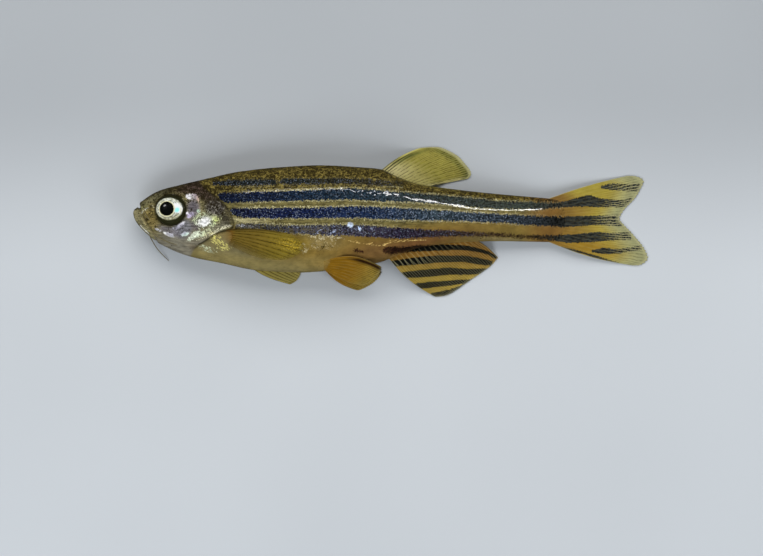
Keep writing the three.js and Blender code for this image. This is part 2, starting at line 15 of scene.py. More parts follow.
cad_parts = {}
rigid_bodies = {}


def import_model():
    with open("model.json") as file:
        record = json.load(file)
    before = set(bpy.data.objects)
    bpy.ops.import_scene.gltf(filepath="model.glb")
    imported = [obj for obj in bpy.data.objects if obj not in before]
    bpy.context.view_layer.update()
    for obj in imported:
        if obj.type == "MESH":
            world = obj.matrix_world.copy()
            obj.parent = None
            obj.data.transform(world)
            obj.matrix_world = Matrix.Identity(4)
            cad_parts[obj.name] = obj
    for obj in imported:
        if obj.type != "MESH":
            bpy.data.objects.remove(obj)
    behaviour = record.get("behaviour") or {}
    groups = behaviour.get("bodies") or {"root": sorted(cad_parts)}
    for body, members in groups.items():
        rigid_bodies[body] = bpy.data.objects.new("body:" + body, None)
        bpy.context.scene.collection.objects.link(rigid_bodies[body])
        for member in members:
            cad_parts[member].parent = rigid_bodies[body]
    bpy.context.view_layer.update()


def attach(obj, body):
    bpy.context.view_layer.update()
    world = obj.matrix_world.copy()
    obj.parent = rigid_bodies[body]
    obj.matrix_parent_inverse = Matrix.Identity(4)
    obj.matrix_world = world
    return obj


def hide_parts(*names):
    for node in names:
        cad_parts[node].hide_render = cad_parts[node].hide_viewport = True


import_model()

TOTAL_LENGTH = 34.06
MM = 0.001


def row_metres(points):
    """Points as [behind the snout, above the axis line, over the floor] in mm, moved to the row frame in
    metres."""
    return (np.asarray(points, float) - [TOTAL_LENGTH / 2, 0, 0]) * MM


# %% [markdown]
# ## Camera, floor and light
# The fish lies flat and is seen from straight above. A long lens keeps the perspective weak, so the snout
# and the tail keep their true places. The largest lamp stands beyond the back of the fish, and two smaller
# ones fill in from the belly's side. A wet flank mirrors whatever is over it, and a broad lamp would wash
# its colours out. So the broad lamps only light, and narrow ones only mirror, as window edges do. The sky
# and the floor aren't mirrored either, because they would lay a grey sheen over the edges of the skin.

# %% Camera
VIEW_WIDTH = 50.36
VIEW_CENTRE = (16.403, -3.68)
MID_LEVEL = 1.9
LENS = 1000
SENSOR = 36

scene = bpy.context.scene
camera = bpy.data.objects.new("camera", bpy.data.cameras.new("camera"))
scene.collection.objects.link(camera)
camera.data.lens = LENS
camera.data.sensor_width = SENSOR
camera.data.clip_start = 0.001
camera_height = MID_LEVEL + VIEW_WIDTH * LENS / SENSOR
camera.location = row_metres([*VIEW_CENTRE, camera_height])
scene.camera = camera
scene.view_settings.view_transform = "Standard"
print("camera height in mm:", round(camera_height, 1))


# %% Lights
def lamp(name, start, end, width, brightness, tint=(1, 1, 1), mirrored=False, aim=(0, 0, 0)):
    """A rectangular lamp that reaches from start to end over the fish, in mm, and faces the place aim. Its
    power is its brightness times its area times pi. A mirrored lamp shows only in glossy reflections, and
    the others only light the surface."""
    made = bpy.data.objects.new(name, bpy.data.lights.new(name, "AREA"))
    scene.collection.objects.link(made)
    start, end = Vector(start), Vector(end)
    made.data.shape = "RECTANGLE"
    made.data.size, made.data.size_y = (end - start).length * MM, width * MM
    made.data.energy = brightness * np.pi * made.data.size * made.data.size_y
    made.data.color = tint
    made.visible_glossy = mirrored
    made.visible_diffuse = not mirrored
    made.visible_camera = False
    along = (end - start).normalized()
    across = ((start + end) / 2 - Vector(aim)).cross(along).normalized()
    axes = Matrix((along, across, along.cross(across))).transposed()
    made.matrix_world = Matrix.Translation((start + end) / 2 * MM) @ axes.to_4x4()


WARM, COOL, PALE = (1, 0.985, 0.96), (0.95, 0.975, 1), (0.96, 0.98, 1)
lamp("key", (-85, 80, 90), (65, 80, 90), width=90, brightness=2.9, tint=WARM)
lamp("fill", (-107, -75, 80), (-17, -75, 80), width=60, brightness=4.6, tint=COOL)
lamp("rear_fill", (45, -50, 75), (125, -50, 75), width=60, brightness=3.8, tint=PALE)
lamp("trunk_glints", (-60, 96, 112), (14, 101, 115), width=3, brightness=9, mirrored=True)
lamp("eye_window", (-107, 48, 95), (-89, 52, 95), width=9, brightness=9, mirrored=True)

# %% Sky
SKY_TINT = (0.9, 0.95, 1, 1)
SKY_STRENGTH = 0.14

world = bpy.data.worlds.new("studio")
scene.world = world
world.use_nodes = True
sky = world.node_tree.nodes["Background"].inputs
sky["Color"].default_value = SKY_TINT
sky["Strength"].default_value = SKY_STRENGTH
world.cycles_visibility.glossy = False
print("sky strength:", SKY_STRENGTH)

# %% [markdown]
# ## Small tools for shapes
# Outlines are short lists of measured points. A curve runs through them smoothly, and numpy works it out for
# a whole grid of places at once. Soft steps and spots shade one region into the next.


# %% Curves and soft shapes
def curve(stations):
    """A value that follows [place, value] stations and never overshoots them: cubic pieces whose slope at a
    station is the harmonic mean of the chords on its two sides, and zero where they change sign."""
    places, values = np.array(stations, float).T
    chords = np.diff(values) / np.diff(places)
    product = chords[:-1] * chords[1:]
    rising_together = product > 0
    total = np.where(rising_together, chords[:-1] + chords[1:], 1)
    inner = np.where(rising_together, 2 * product / total, 0)
    slopes = np.concatenate([chords[:1], inner, chords[-1:]])

    def follow(x):
        x = np.clip(x, places[0], places[-1])
        i = np.clip(np.searchsorted(places, x, side="right") - 1, 0, len(places) - 2)
        width = places[i + 1] - places[i]
        t = (x - places[i]) / width
        leave = values[i] * (1 - t) ** 2 * (1 + 2 * t) + width * slopes[i] * t * (1 - t) ** 2
        arrive = values[i + 1] * t**2 * (3 - 2 * t) - width * slopes[i + 1] * t**2 * (1 - t)
        return leave + arrive

    return follow


def mix(first, second, share):
    """first where share is 0, second where it is 1, and evenly between."""
    return first + (second - first) * share


def soft_step(value, low, high):
    """0 up to low, 1 from high, and a smooth S between."""
    t = np.clip((value - low) / (high - low), 0, 1)
    return t * t * (3 - 2 * t)


def ridge(value, centre, width):
    """1 at the centre, falling off on both sides like a bell of that half width."""
    return np.exp(-(((value - centre) / width) ** 2))


def spot(x, y, centre, reach, turn=0.0):
    """1 at the centre of an oval spot, fading like a bell of that half length and half height, turned in
    degrees."""
    angle = np.radians(turn)
    dx, dy = x - centre[0], y - centre[1]
    along = np.cos(angle) * dx + np.sin(angle) * dy
    across = np.cos(angle) * dy - np.sin(angle) * dx
    return ridge(along, 0, reach[0]) * ridge(across, 0, reach[1])


def through(points, count):
    """count evenly spaced points on a smooth line through the given ones. Each stretch is a cubic that
    leaves and arrives along the chord between its neighbours, which is a Catmull-Rom line."""
    p = np.array(points, float)
    p = np.vstack([p[:1], p, p[-1:]])
    t = np.linspace(0, 1, 24, endpoint=False)[:, None]
    stretches = [
        (2 * b + (c - a) * t + (2 * a - 5 * b + 4 * c - d) * t**2 + (3 * b - a - 3 * c + d) * t**3) / 2
        for a, b, c, d in zip(p, p[1:], p[2:], p[3:])
    ]
    fine = np.vstack([*stretches, p[-1:]])
    steps = np.linalg.norm(np.diff(fine, axis=0), axis=1)
    length = np.concatenate([[0], np.cumsum(steps)])
    even = np.linspace(0, length[-1], count)
    return np.column_stack([np.interp(even, length, axis) for axis in fine.T])


def beside(x, y, line):
    """Signed distance in mm from a bent line: that of its nearest straight stretch, positive to the left of
    the line's own direction."""
    best = np.full(np.shape(x), np.inf)
    for (x0, y0), (x1, y1) in zip(line, line[1:]):
        dx, dy = x1 - x0, y1 - y0
        along = np.clip(((x - x0) * dx + (y - y0) * dy) / (dx * dx + dy * dy), 0, 1)
        far = np.hypot(x - x0 - along * dx, y - y0 - along * dy)
        on_left = dx * (y - y0) - dy * (x - x0) >= 0
        best = np.where(far < np.abs(best), np.where(on_left, far, -far), best)
    return best


# %% Meshes from grids
def face_up(grid):
    """The direction that a grid of points faces at each point: across its two running directions."""
    along = np.gradient(grid, axis=0)
    around = np.gradient(grid, axis=1)
    facing = np.cross(along, around)
    return facing / np.maximum(np.linalg.norm(facing, axis=-1, keepdims=True), 1e-12)


def closed_tube(rings, around, ends):
    """Faces of a tube of rings, with the place of each face corner on a flat unwrap. Its ends close on a
    point each, or, for a sheet whose rings run out on one face and back on the other, with a seam between
    the faces."""
    ring = np.arange(rings - 1)[:, None, None]
    place = np.arange(around)[None, :, None]
    step_ring, step_place = np.array([0, 1, 1, 0]), np.array([0, 0, 1, 1])
    faces = (ring + step_ring) * around + (place + step_place) % around
    shares = (ring + step_ring) / (rings - 1), (place + step_place) / around
    unwrap = np.stack(np.broadcast_arrays(*shares), -1)
    faces, unwrap = faces.reshape(-1, 4).tolist(), [unwrap.reshape(-1, 2)]
    last = (rings - 1) * around
    if ends == "points":
        now, after = np.arange(around), (np.arange(around) + 1) % around
        first_pole, last_pole = rings * around, rings * around + 1
        faces += np.stack([now, after, np.full(around, first_pole)], -1).tolist()
        faces += np.stack([last + after, last + now, np.full(around, last_pole)], -1).tolist()
        share = np.arange(around)[:, None] / around
        for level, shift in ((0, (0, 1, 0.5)), (1, (1, 0, 0.5))):
            across = share + np.array(shift) / around
            unwrap.append(np.stack([np.full_like(across, level), across], -1).reshape(-1, 2))
    else:
        j = np.arange(around // 2 - 1)
        for start, level in ((0, 0), (last, 1)):
            strip = np.stack([j, j + 1, around - 2 - j, around - 1 - j], -1)
            strip = strip if level == 0 else strip[:, ::-1]
            faces += (start + strip).tolist()
            unwrap.append(np.stack([np.full(strip.shape, level), strip / around], -1).reshape(-1, 2))
    return faces, np.vstack(unwrap)


def make_piece(name, grid, ends="points", fields=None):
    """A closed mesh from a grid of points in mm, ring by ring. fields are named values for every grid point:
    a number each, or a colour each, which the material reads."""
    rings, around = grid.shape[:2]
    faces, unwrap = closed_tube(rings, around, ends)

    def with_poles(values):
        flat = values.reshape(rings * around, *values.shape[2:])
        return np.concatenate([flat, values[:1].mean(1), values[-1:].mean(1)]) if ends == "points" else flat

    points = with_poles(grid)
    corners = np.array([face[:3] for face in faces])
    a, b, c = (points[corners[:, k]] for k in range(3))
    if (np.cross(a, b) * c).sum() < 0:
        starts = np.concatenate([[0], np.cumsum([len(face) for face in faces])])
        unwrap = np.vstack([unwrap[i:j][::-1] for i, j in zip(starts, starts[1:])])
        faces = [face[::-1] for face in faces]
    mesh = bpy.data.meshes.new(name)
    mesh.from_pydata(row_metres(points), [], faces)
    mesh.shade_smooth()
    mesh.uv_layers.new(name="OFBake").uv.foreach_set("vector", unwrap.astype(np.float32).ravel())
    for key, values in (fields or {}).items():
        flat = with_poles(np.asarray(values, float))
        kind, part = "FLOAT", "value"
        if flat.ndim == 2:
            kind, part = "FLOAT_COLOR", "color"
            flat = np.column_stack([flat, np.ones(len(flat))])
        mesh.attributes.new(key, kind, "POINT").data.foreach_set(part, flat.astype(np.float32).ravel())
    piece = bpy.data.objects.new(name, mesh)
    scene.collection.objects.link(piece)
    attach(piece, "root")
    print(f"{name}: {len(points)} points, {sum(len(f) - 2 for f in faces)} triangles")
    return piece


# %% [markdown]
# ## Small tools for finishes
# A colour is written as it looks on the lit fish, in 0 to 255. Coats of colour are laid over one another for
# all points of a mesh at once. Materials are trees of nodes, and short helpers keep them readable: they add
# a node, do arithmetic, blend colours, read what the mesh holds, and make a grain or dots of a given size.
# Grains read the object's coordinates, so they keep their size all over the fish.

# %% Paint
WHITEST_PAINT = 0.95


def paint(red, green, blue):
    """The paint that looks like this colour, 0 to 255, once it is lit: the sRGB curve is taken off it, and
    it stays a little short of pure white, as every real paint does."""
    seen = np.array([red, green, blue]) / 255
    linear = np.where(seen <= 0.04045, seen / 12.92, ((seen + 0.055) / 1.055) ** 2.4)
    return np.minimum(linear, WHITEST_PAINT)


def even_coat(like, *colour):
    """One colour for every point of a grid."""
    return np.broadcast_to(paint(*colour), (*like.shape, 3))


def lay(ground, colour, share):
    """A grid of colours with another colour laid over it, where share runs from 0 to 1."""
    return ground + (np.asarray(colour) - ground) * np.clip(share, 0, 1)[..., None]


def lay_coats(ground, coats):
    """A grid of colours with others laid over it in turn, each written as its colour and its share."""
    for colour, share in coats:
        ground = lay(ground, paint(*colour), share)
    return ground


print("whitest paint:", WHITEST_PAINT)


# %% Node helpers
def material(name):
    """A new material and its main shader."""
    made = bpy.data.materials.new(name)
    made.use_nodes = True
    return made, made.node_tree.nodes["Principled BSDF"]


def plug(tree, socket, value):
    """Feeds a socket from another node's output, or with a number or a colour."""
    if isinstance(value, bpy.types.NodeSocket):
        tree.links.new(value, socket)
    elif np.ndim(value) and len(value) == 3 and socket.type == "RGBA":
        socket.default_value = (*value, 1)
    else:
        socket.default_value = value


def add(tree, kind, inputs=None, **settings):
    """A node with its settings, and its input sockets fed by name or number."""
    made = tree.nodes.new(kind)
    for key, value in settings.items():
        setattr(made, key, value)
    for key, value in (inputs or {}).items():
        plug(tree, made.inputs[key], value)
    return made


def maths(tree, operation, first, second=0.0):
    """One step of arithmetic on two values."""
    return add(tree, "ShaderNodeMath", {0: first, 1: second}, operation=operation).outputs[0]


def times(tree, first, *others):
    """The product of two or more values."""
    for other in others:
        first = maths(tree, "MULTIPLY", first, other)
    return first


def less(tree, share):
    """1 less a share."""
    return maths(tree, "SUBTRACT", 1.0, share)


def between(tree, value, low, high, start=0.0, end=1.0):
    """start up to low and end from high, with a smooth S between."""
    inputs = {"Value": value, "From Min": low, "From Max": high, "To Min": start, "To Max": end}
    return add(tree, "ShaderNodeMapRange", inputs, interpolation_type="SMOOTHSTEP").outputs["Result"]


def blend(tree, share, first, second, way="MIX"):
    """Two colours blended by a share."""
    inputs = {0: share, 6: first, 7: second}
    return add(tree, "ShaderNodeMix", inputs, data_type="RGBA", blend_type=way).outputs[2]


def toned(tree, colour, tone, share=1.0):
    """A colour multiplied by a tone, which darkens it below 1 and lightens it above."""
    return blend(tree, share, colour, tone, "MULTIPLY")


def field(tree, name):
    """A number that the mesh holds at each point."""
    return add(tree, "ShaderNodeAttribute", attribute_name=name).outputs["Fac"]


def colour_field(tree, name):
    """A colour that the mesh holds at each point."""
    return add(tree, "ShaderNodeAttribute", attribute_name=name).outputs["Color"]


def own_place(tree, unit, turn=0.0):
    """The object's coordinates, counted in units of a length in metres for each axis, and turned in degrees
    in the flank's plane."""
    place = add(tree, "ShaderNodeTexCoord").outputs["Object"]
    layout = {"Vector": place, "Rotation": (0, 0, np.radians(turn)), "Scale": unit}
    return add(tree, "ShaderNodeMapping", layout, vector_type="TEXTURE").outputs[0]


def grain(tree, size, detail=2.0, stretch=(1, 1, 1), distortion=0.0, roughness=0.55, turn=0.0):
    """Noise whose blotches are about size mm, drawn out by stretch and turned in the flank's plane."""
    place = own_place(tree, [MM * size * s for s in stretch], turn)
    look = {"Scale": 1.0, "Detail": detail, "Distortion": distortion, "Roughness": roughness}
    return add(tree, "ShaderNodeTexNoise", {"Vector": place, **look}).outputs["Fac"]


def sway(tree, amount, size, detail=2.0, stretch=(1, 1, 1)):
    """A grain that swings about zero, by half the amount to each side."""
    return times(tree, maths(tree, "SUBTRACT", grain(tree, size, detail, stretch), 0.5), amount)


DOT_EDGE = 0.15


def dots(tree, spacing, radius):
    """1 on small round dots, one in each of many random cells, and 0 off them. The radius, and the width of
    the soft edge, are shares of the spacing."""
    place = own_place(tree, [MM * spacing] * 3)
    away = add(tree, "ShaderNodeTexVoronoi", {"Vector": place, "Scale": 1.0}).outputs["Distance"]
    return between(tree, away, radius, radius + DOT_EDGE, 1, 0)


print("node helpers ready")


# %% Floor
FLOOR_REACH = 900
# Painted shade: the floor's paint grows softly darker from the belly's side to beyond the back.
SHADE_FROM, SHADE_TO, SHADE = -4 * MM, 9 * MM, 0.3

floor_mesh = bpy.data.meshes.new("floor")
floor_corners = [[FLOOR_REACH * x, FLOOR_REACH * y, 0] for x, y in ((-1, -1), (1, -1), (1, 1), (-1, 1))]
floor_mesh.from_pydata(row_metres(floor_corners), [], [(0, 1, 2, 3)])
floor = bpy.data.objects.new("floor", floor_mesh)
scene.collection.objects.link(floor)
floor.visible_glossy = False

floor_finish, floor_shader = material("pale_floor")
tree = floor_finish.node_tree
cloudy = grain(tree, 18, detail=1)
floor_tone = blend(tree, cloudy, paint(196, 201, 206), paint(206, 211, 216))
floor_place = add(tree, "ShaderNodeTexCoord").outputs["Object"]
beyond = add(tree, "ShaderNodeSeparateXYZ", {0: floor_place}).outputs["Y"]
shaded = between(tree, beyond, SHADE_FROM, SHADE_TO, 0, SHADE)
floor_tone = blend(tree, shaded, floor_tone, paint(60, 66, 72))
plug(tree, floor_shader.inputs["Base Color"], floor_tone)
floor_shader.inputs["Roughness"].default_value = 0.6
floor_shader.inputs["Specular IOR Level"].default_value = 0.2
floor_mesh.materials.append(floor_finish)
print("floor reaches", FLOOR_REACH, "mm each way")

# %% [markdown]
# ## The form of the body
# A fish's body is a tube whose section changes all the way: tall and narrow, and along the tail fuller above
# than below. Each section here is an oval. Its top and bottom follow measured lines. Its half width, which a
# view from above doesn't show, follows the species, and its fullness says how far its corners are filled.
# The half towards the back and the half towards the belly have their own height, so the widest level needn't
# be in the middle. The skin runs a little way onto the tail fin, as scales do.

# %% Body lines
BODY_LENGTH = 27.4
SKIN_END = 28.5

back_line = curve([
    (0, 0.61), (0.1, 0.86), (0.4, 0.94), (0.46, 1.16), (0.79, 1.54), (1.78, 2.1), (3.1, 2.46), (5.08, 2.92),
    (7.06, 3.34), (9.7, 3.62), (12.34, 3.75), (14.98, 3.62), (16.3, 3.5), (17.62, 2.94), (18.94, 2.51),
    (21.58, 2.13), (24.22, 1.85), (BODY_LENGTH, 1.58), (SKIN_END, 1.5),
])
belly_line = curve([
    (0, 0.61), (0.1, 0.22), (0.46, -0.31), (1.12, -0.94), (2.11, -1.6), (3.76, -2.26), (5.74, -2.67),
    (8.38, -3.19), (11.02, -3.31), (13.99, -3.06), (16.3, -2.64), (17.29, -2.26), (18.94, -1.7),
    (21.58, -1.33), (24.22, -1.25), (BODY_LENGTH, -1.3), (SKIN_END, -1.25),
])
half_width = curve([
    (0, 0), (0.1, 0.3), (0.3, 0.5), (0.45, 0.6), (1, 0.85), (2, 1.12), (3, 1.32), (5.5, 1.68), (7, 1.82),
    (9, 1.96), (12, 2.05), (14, 2.02), (16, 1.85), (18, 1.6), (20, 1.33), (22, 1.06), (24, 0.82),
    (26, 0.58), (BODY_LENGTH, 0.4), (28, 0.2), (SKIN_END, 0.03),
])
mid_level = curve([
    (0, 1.5), (4, 1.66), (5.5, 1.7), (8, 1.92), (12, 1.98), (16, 1.83), (20, 1.42), (24, 0.98),
    (BODY_LENGTH, 0.68), (SKIN_END, 0.62),
])
back_fullness = curve([(0, 2.3), (5, 2.2), (12, 2.05), (BODY_LENGTH, 2)])
belly_fullness = curve([(0, 2), (8, 2.1), (13, 2.1), (17, 1.75), (22, 1.8), (BODY_LENGTH, 2)])
WIDEST_SHARE = 0.52
FALL_OUTSIDE = 2.5
LEFT, RIGHT = 1, -1


def widest_height(s):
    """Height of the body's widest level: that share of the way from the belly line to the back line."""
    return mix(belly_line(s), back_line(s), WIDEST_SHARE)


def section(s, angle):
    """A point on the oval at s. Angle 0 faces up, a quarter turn is the back. Height and width follow the
    sine and cosine, each raised to 2 over the fullness."""
    middle = widest_height(s)
    to_back = np.sin(angle) >= 0
    reach = np.where(to_back, back_line(s) - middle, middle - belly_line(s))
    power = 2 / np.where(to_back, back_fullness(s), belly_fullness(s))
    rise, width = (np.sign(f) * np.abs(f) ** power for f in (np.sin(angle), np.cos(angle)))
    return np.stack(np.broadcast_arrays(s, middle + reach * rise, mid_level(s) + half_width(s) * width), -1)


def skin_level(s, y, flank):
    """Height of the skin over the place (s, y) on the left or right flank. Outside the outline it falls
    away."""
    middle = widest_height(s)
    above = y >= middle
    reach = np.where(above, back_line(s) - middle, middle - belly_line(s))
    power = np.where(above, back_fullness(s), belly_fullness(s))
    share = np.abs(y - middle) / reach
    width = half_width(s) * (1 - np.minimum(share, 1) ** power) ** (1 / power)
    return mid_level(s) + flank * (width - FALL_OUTSIDE * reach * np.maximum(share - 1, 0))


def skin_slopes(s, y, flank, reach):
    """How steeply the skin's level rises along s and along y, measured from reach mm before to as far
    behind."""
    along_s = skin_level(s + reach, y, flank) - skin_level(s - reach, y, flank)
    along_y = skin_level(s, y + reach, flank) - skin_level(s, y - reach, flank)
    return along_s / (2 * reach), along_y / (2 * reach)


print("widest height at mid body:", round(float(widest_height(BODY_LENGTH / 2)), 2), "mm")

# %% [markdown]
# ## The wet line
# Where a wet fish curves, its film of water mirrors the light as one bright line along the flank, and at a
# few scales the line breaks. Painting it on would fix it to the skin. Here narrow lamps hang close over the
# fish, placed by the mirror law: each stands where the camera's own line of sight goes once the skin has
# turned it. So the line keeps to measured places, and the ripples of the film still break it up.

# %% The wet line
WET_LINE = [
    (13.9, 2.2), (14.2, 2.13), (15.2, 1.97), (15.8, 1.91), (16.6, 1.88), (17.4, 1.77), (18.3, 1.62),
    (19.2, 1.46), (20.1, 1.31), (21.2, 1.15), (21.8, 1.02), (22.5, 0.92), (23.4, 0.86), (24.2, 0.8),
    (25.2, 0.78), (26, 0.84), (27, 0.84),
]
SLOPE_REACH = 0.04
STRIP_DISTANCE = 15
STRIP_WIDTH = 0.5
STRIP_BRIGHTNESS = 26
BROKEN_UP_TO = 6
DASH = (0.1, 0.7)


def mirror_places(line, distance):
    """Where lamps must stand for the camera above to see them mirrored along a line on the left flank, in
    the row frame in mm, and the places on the flank. The direction straight up is turned over the skin's
    normal, which leans away from the slopes of the level."""
    s, y = np.array(line, float).T
    slope_s, slope_y = skin_slopes(s, y, LEFT, SLOPE_REACH)
    normal = np.column_stack([-slope_s, -slope_y, np.ones_like(s)])
    normal /= np.linalg.norm(normal, axis=1, keepdims=True)
    foot = np.column_stack([s - TOTAL_LENGTH / 2, y, skin_level(s, y, LEFT)])
    return foot + distance * (2 * normal[:, 2:] * normal - [0, 0, 1]), foot


places, feet = mirror_places(WET_LINE, STRIP_DISTANCE)
for i, (start, end) in enumerate(zip(places, places[1:])):
    if i < BROKEN_UP_TO:
        start, end = (mix(start, end, share) for share in DASH)
    aim = (feet[i] + feet[i + 1]) / 2
    lamp(f"wet_line_{i}", start, end, STRIP_WIDTH, STRIP_BRIGHTNESS, mirrored=True, aim=aim)
print("strips over the wet line:", len(places) - 1)

# %% The bare grid of the skin
AROUND = 240
EVEN_OUT = 0.14
# Runs of stations along the fish, closest at the snout: from, to and how many.
STATION_RUNS = [(0.015, 0.5, 16), (0.5, 7, 130), (7, SKIN_END, 238)]

stations = np.unique(np.concatenate([np.linspace(*run) for run in STATION_RUNS]))
turn = np.linspace(0, 2 * np.pi, AROUND, endpoint=False)
angle = turn - EVEN_OUT * np.sin(2 * turn)
S, ANGLE = np.meshgrid(stations, angle, indexing="ij")
bare = section(S, ANGLE)
Y = bare[..., 1]
padded = np.concatenate([bare[:, -1:], bare, bare[:, :1]], axis=1)
outward = face_up(padded)[:, 1:-1]
outward *= np.sign((outward[..., 2] * np.cos(ANGLE)).sum())
girth_steps = np.linalg.norm(np.diff(padded[:, 1:], axis=1), axis=-1)
girth = np.cumsum(girth_steps, axis=1) - girth_steps
print("skin grid", S.shape, "largest girth", round(float(girth_steps.sum(1).max()), 2), "mm")

# %% [markdown]
# ## Relief of the skin
# The mouth is a groove between two rounded lips, and the gill cover is a plate whose rear edge stands proud
# over the gill opening. Scales overlap like roof tiles: each rises towards its free rear edge and drops to
# the next. In numbers that is a sawtooth along the fish, bent into arcs, in two sets that are offset by half
# a scale, and the higher of the two shows. A scale's step is about a hundredth of a millimetre. The mouth
# and the nostrils are about a tenth deep, and the eyes' sockets three tenths.

# %% Lines on the head
GILL_OPENING = [
    (4.3, 4.2), (4.16, 3.06), (4.81, 2.15), (5.61, 1.5), (6.22, 0.82), (6.59, -0.05), (6.4, -0.42),
    (5.57, -0.67), (4.66, -1.25), (4.24, -1.5), (3.83, -2.09), (3.7, -2.62), (3.65, -3.4),
]
GILL_COVER_FRONT = [(3.78, 2), (3.74, 0.94), (3.57, 0.1), (3.05, -0.8), (2.97, -1.1), (3.4, -1.38),
                    (4.1, -1.5)]
MOUTH_LINE = [(0.36, 1.4), (0.42, 1.04), (0.55, 0.61), (0.73, 0.25), (0.96, -0.11)]
JAW_REAR = [(0.96, -0.11), (1.25, -0.64), (1.65, -1.56), (1.85, -2.1)]
NOSTRIL = (1.17, 1.04)
EYE = (2.49, 0.8)
EYE_RADIUS = 1.0
PUPIL = (2.3, 0.86)

gill_line = through(GILL_OPENING, 60)
behind_gill = beside(S, Y, gill_line)
from_cover_front = beside(S, Y, through(GILL_COVER_FRONT, 30))
from_mouth = beside(S, Y, through(MOUTH_LINE, 20))
from_jaw = beside(S, Y, through(JAW_REAR, 20))
from_jaw_edge = beside(S, Y, MOUTH_LINE[1:] + JAW_REAR[1:])
from_eye = np.hypot(S - EYE[0], Y - EYE[1])
from_nostril = np.hypot(S - NOSTRIL[0], Y - NOSTRIL[1])
print("head lines laid out; eye", EYE, "pupil", PUPIL)

# %% Scales
SCALE_LENGTH = 0.92
SCALE_HEIGHT = 0.6
ARC_DEPTH = 0.42
OVERLAP = 0.55
SHORTENING, SCALE_LENGTH_AT = 0.006, 7


def scale_relief(s, height):
    """Height of overlapping scales from 0 to 1, and nearness to a free edge. s runs along the fish and
    height up the flank. One set of scales is a sawtooth in s, shifted back by the square of the offset from
    its row's middle line and lowered by it. The other set is moved by half a scale and half a row. A square
    term shortens the scales towards the tail, and they have SCALE_LENGTH only at one place."""
    phase = s / SCALE_LENGTH + SHORTENING * (s - SCALE_LENGTH_AT) ** 2
    sets = []
    for shift in (0, 0.5):
        row = height / SCALE_HEIGHT + shift
        offset = 2 * (row - np.round(row))
        tooth = (phase + shift + ARC_DEPTH * offset**2) % 1
        rise = tooth * (1 - soft_step(tooth, 0.9, 1))
        sets.append((rise - OVERLAP * offset**2, ridge(tooth, 0.93, 0.1)))
    first_on_top = sets[0][0] >= sets[1][0]
    relief = np.where(first_on_top, sets[0][0], sets[1][0])
    edge = np.where(first_on_top, sets[0][1], sets[1][1])
    return np.clip(relief, 0, 1), edge


from_midline = np.where(np.cos(ANGLE) >= 0, girth, girth - girth_steps.sum(1, keepdims=True) / 2)
from_midline = np.where(turn > 1.5 * np.pi, girth - girth_steps.sum(1, keepdims=True), from_midline)
from_midline = np.where(np.cos(ANGLE) >= 0, from_midline, -from_midline)
slim = (back_line(S) - belly_line(S)) / 7
scales, scale_edge = scale_relief(S, from_midline / np.sqrt(slim))
scaled = soft_step(behind_gill, 0.05, 0.7)
scale_edge = scale_edge * scaled
print("scale rows on a flank:", round(float(girth_steps.sum(1).max()) / 2 / SCALE_HEIGHT, 1))

# %% Relief
SCALE_STEP = 0.014
COVER_LIFT, COVER_SLOPE = 0.12, 0.5
SLIT_DEPTH, SLIT_SLOPE = 0.07, 0.18
SMOOTHER_BY, SMOOTHER_OVER = 0.8, (15.5, 18.5)
SOCKET_DEPTH = 0.3
NOSTRIL_DEPTH = 0.12
# Ridges and grooves beside a line: the distance from it, the ridge's middle, its half width and its height.
RIDGES = [
    (from_cover_front, -0.08, 0.1, 0.03),
    (from_cover_front, 0.04, 0.05, -0.045),
    (np.abs(from_mouth), 0.15, 0.09, 0.075),
    (from_mouth, 0, 0.05, -0.11),
    (from_jaw, 0, 0.06, -0.05),
    (np.abs(from_jaw), 0.13, 0.08, 0.02),
    (from_eye, 1.12, 0.1, 0.05),
    (from_nostril, 0.17, 0.05, 0.035),
]

relief = SCALE_STEP * scales * scaled * (1 - SMOOTHER_BY * soft_step(S, *SMOOTHER_OVER))
beside_opening = soft_step(Y, -1.75, -1.35) * soft_step(2.3 - Y, 0, 0.5)
on_cover = COVER_LIFT * np.exp(behind_gill / COVER_SLOPE)
in_slit = -SLIT_DEPTH * np.exp(-behind_gill / SLIT_SLOPE)
relief += np.where(behind_gill < 0, on_cover, in_slit) * beside_opening
for distance, centre, width, height in RIDGES:
    relief += height * ridge(distance, centre, width)
relief -= SOCKET_DEPTH * (1 - soft_step(from_eye, 0.88, 1.03))
relief -= NOSTRIL_DEPTH * spot(S, Y, NOSTRIL, (0.09, 0.08))
skin_grid = bare + outward * relief[..., None]
skin_grid[..., 2] = np.maximum(skin_grid[..., 2], 0)
print("relief from", round(float(relief.min()), 3), "to", round(float(relief.max()), 3), "mm")

# %% [markdown]
# ## Markings
# The danio's stripes run from the gill cover to the tail's margin. Each band is a list of stations: how far
# behind the snout, its upper edge and its lower edge. Along the way it also gives its tint, how dense its
# ink is, and how strongly its pale dots show. The mesh holds how deep inside a stripe each point lies, in
# mm, and the material cuts the stripe out there with a grain that frays its edges, so that they stay sharp
# however coarse the mesh is. Skin and fins share the stations, so a stripe meets itself on the tail fin.

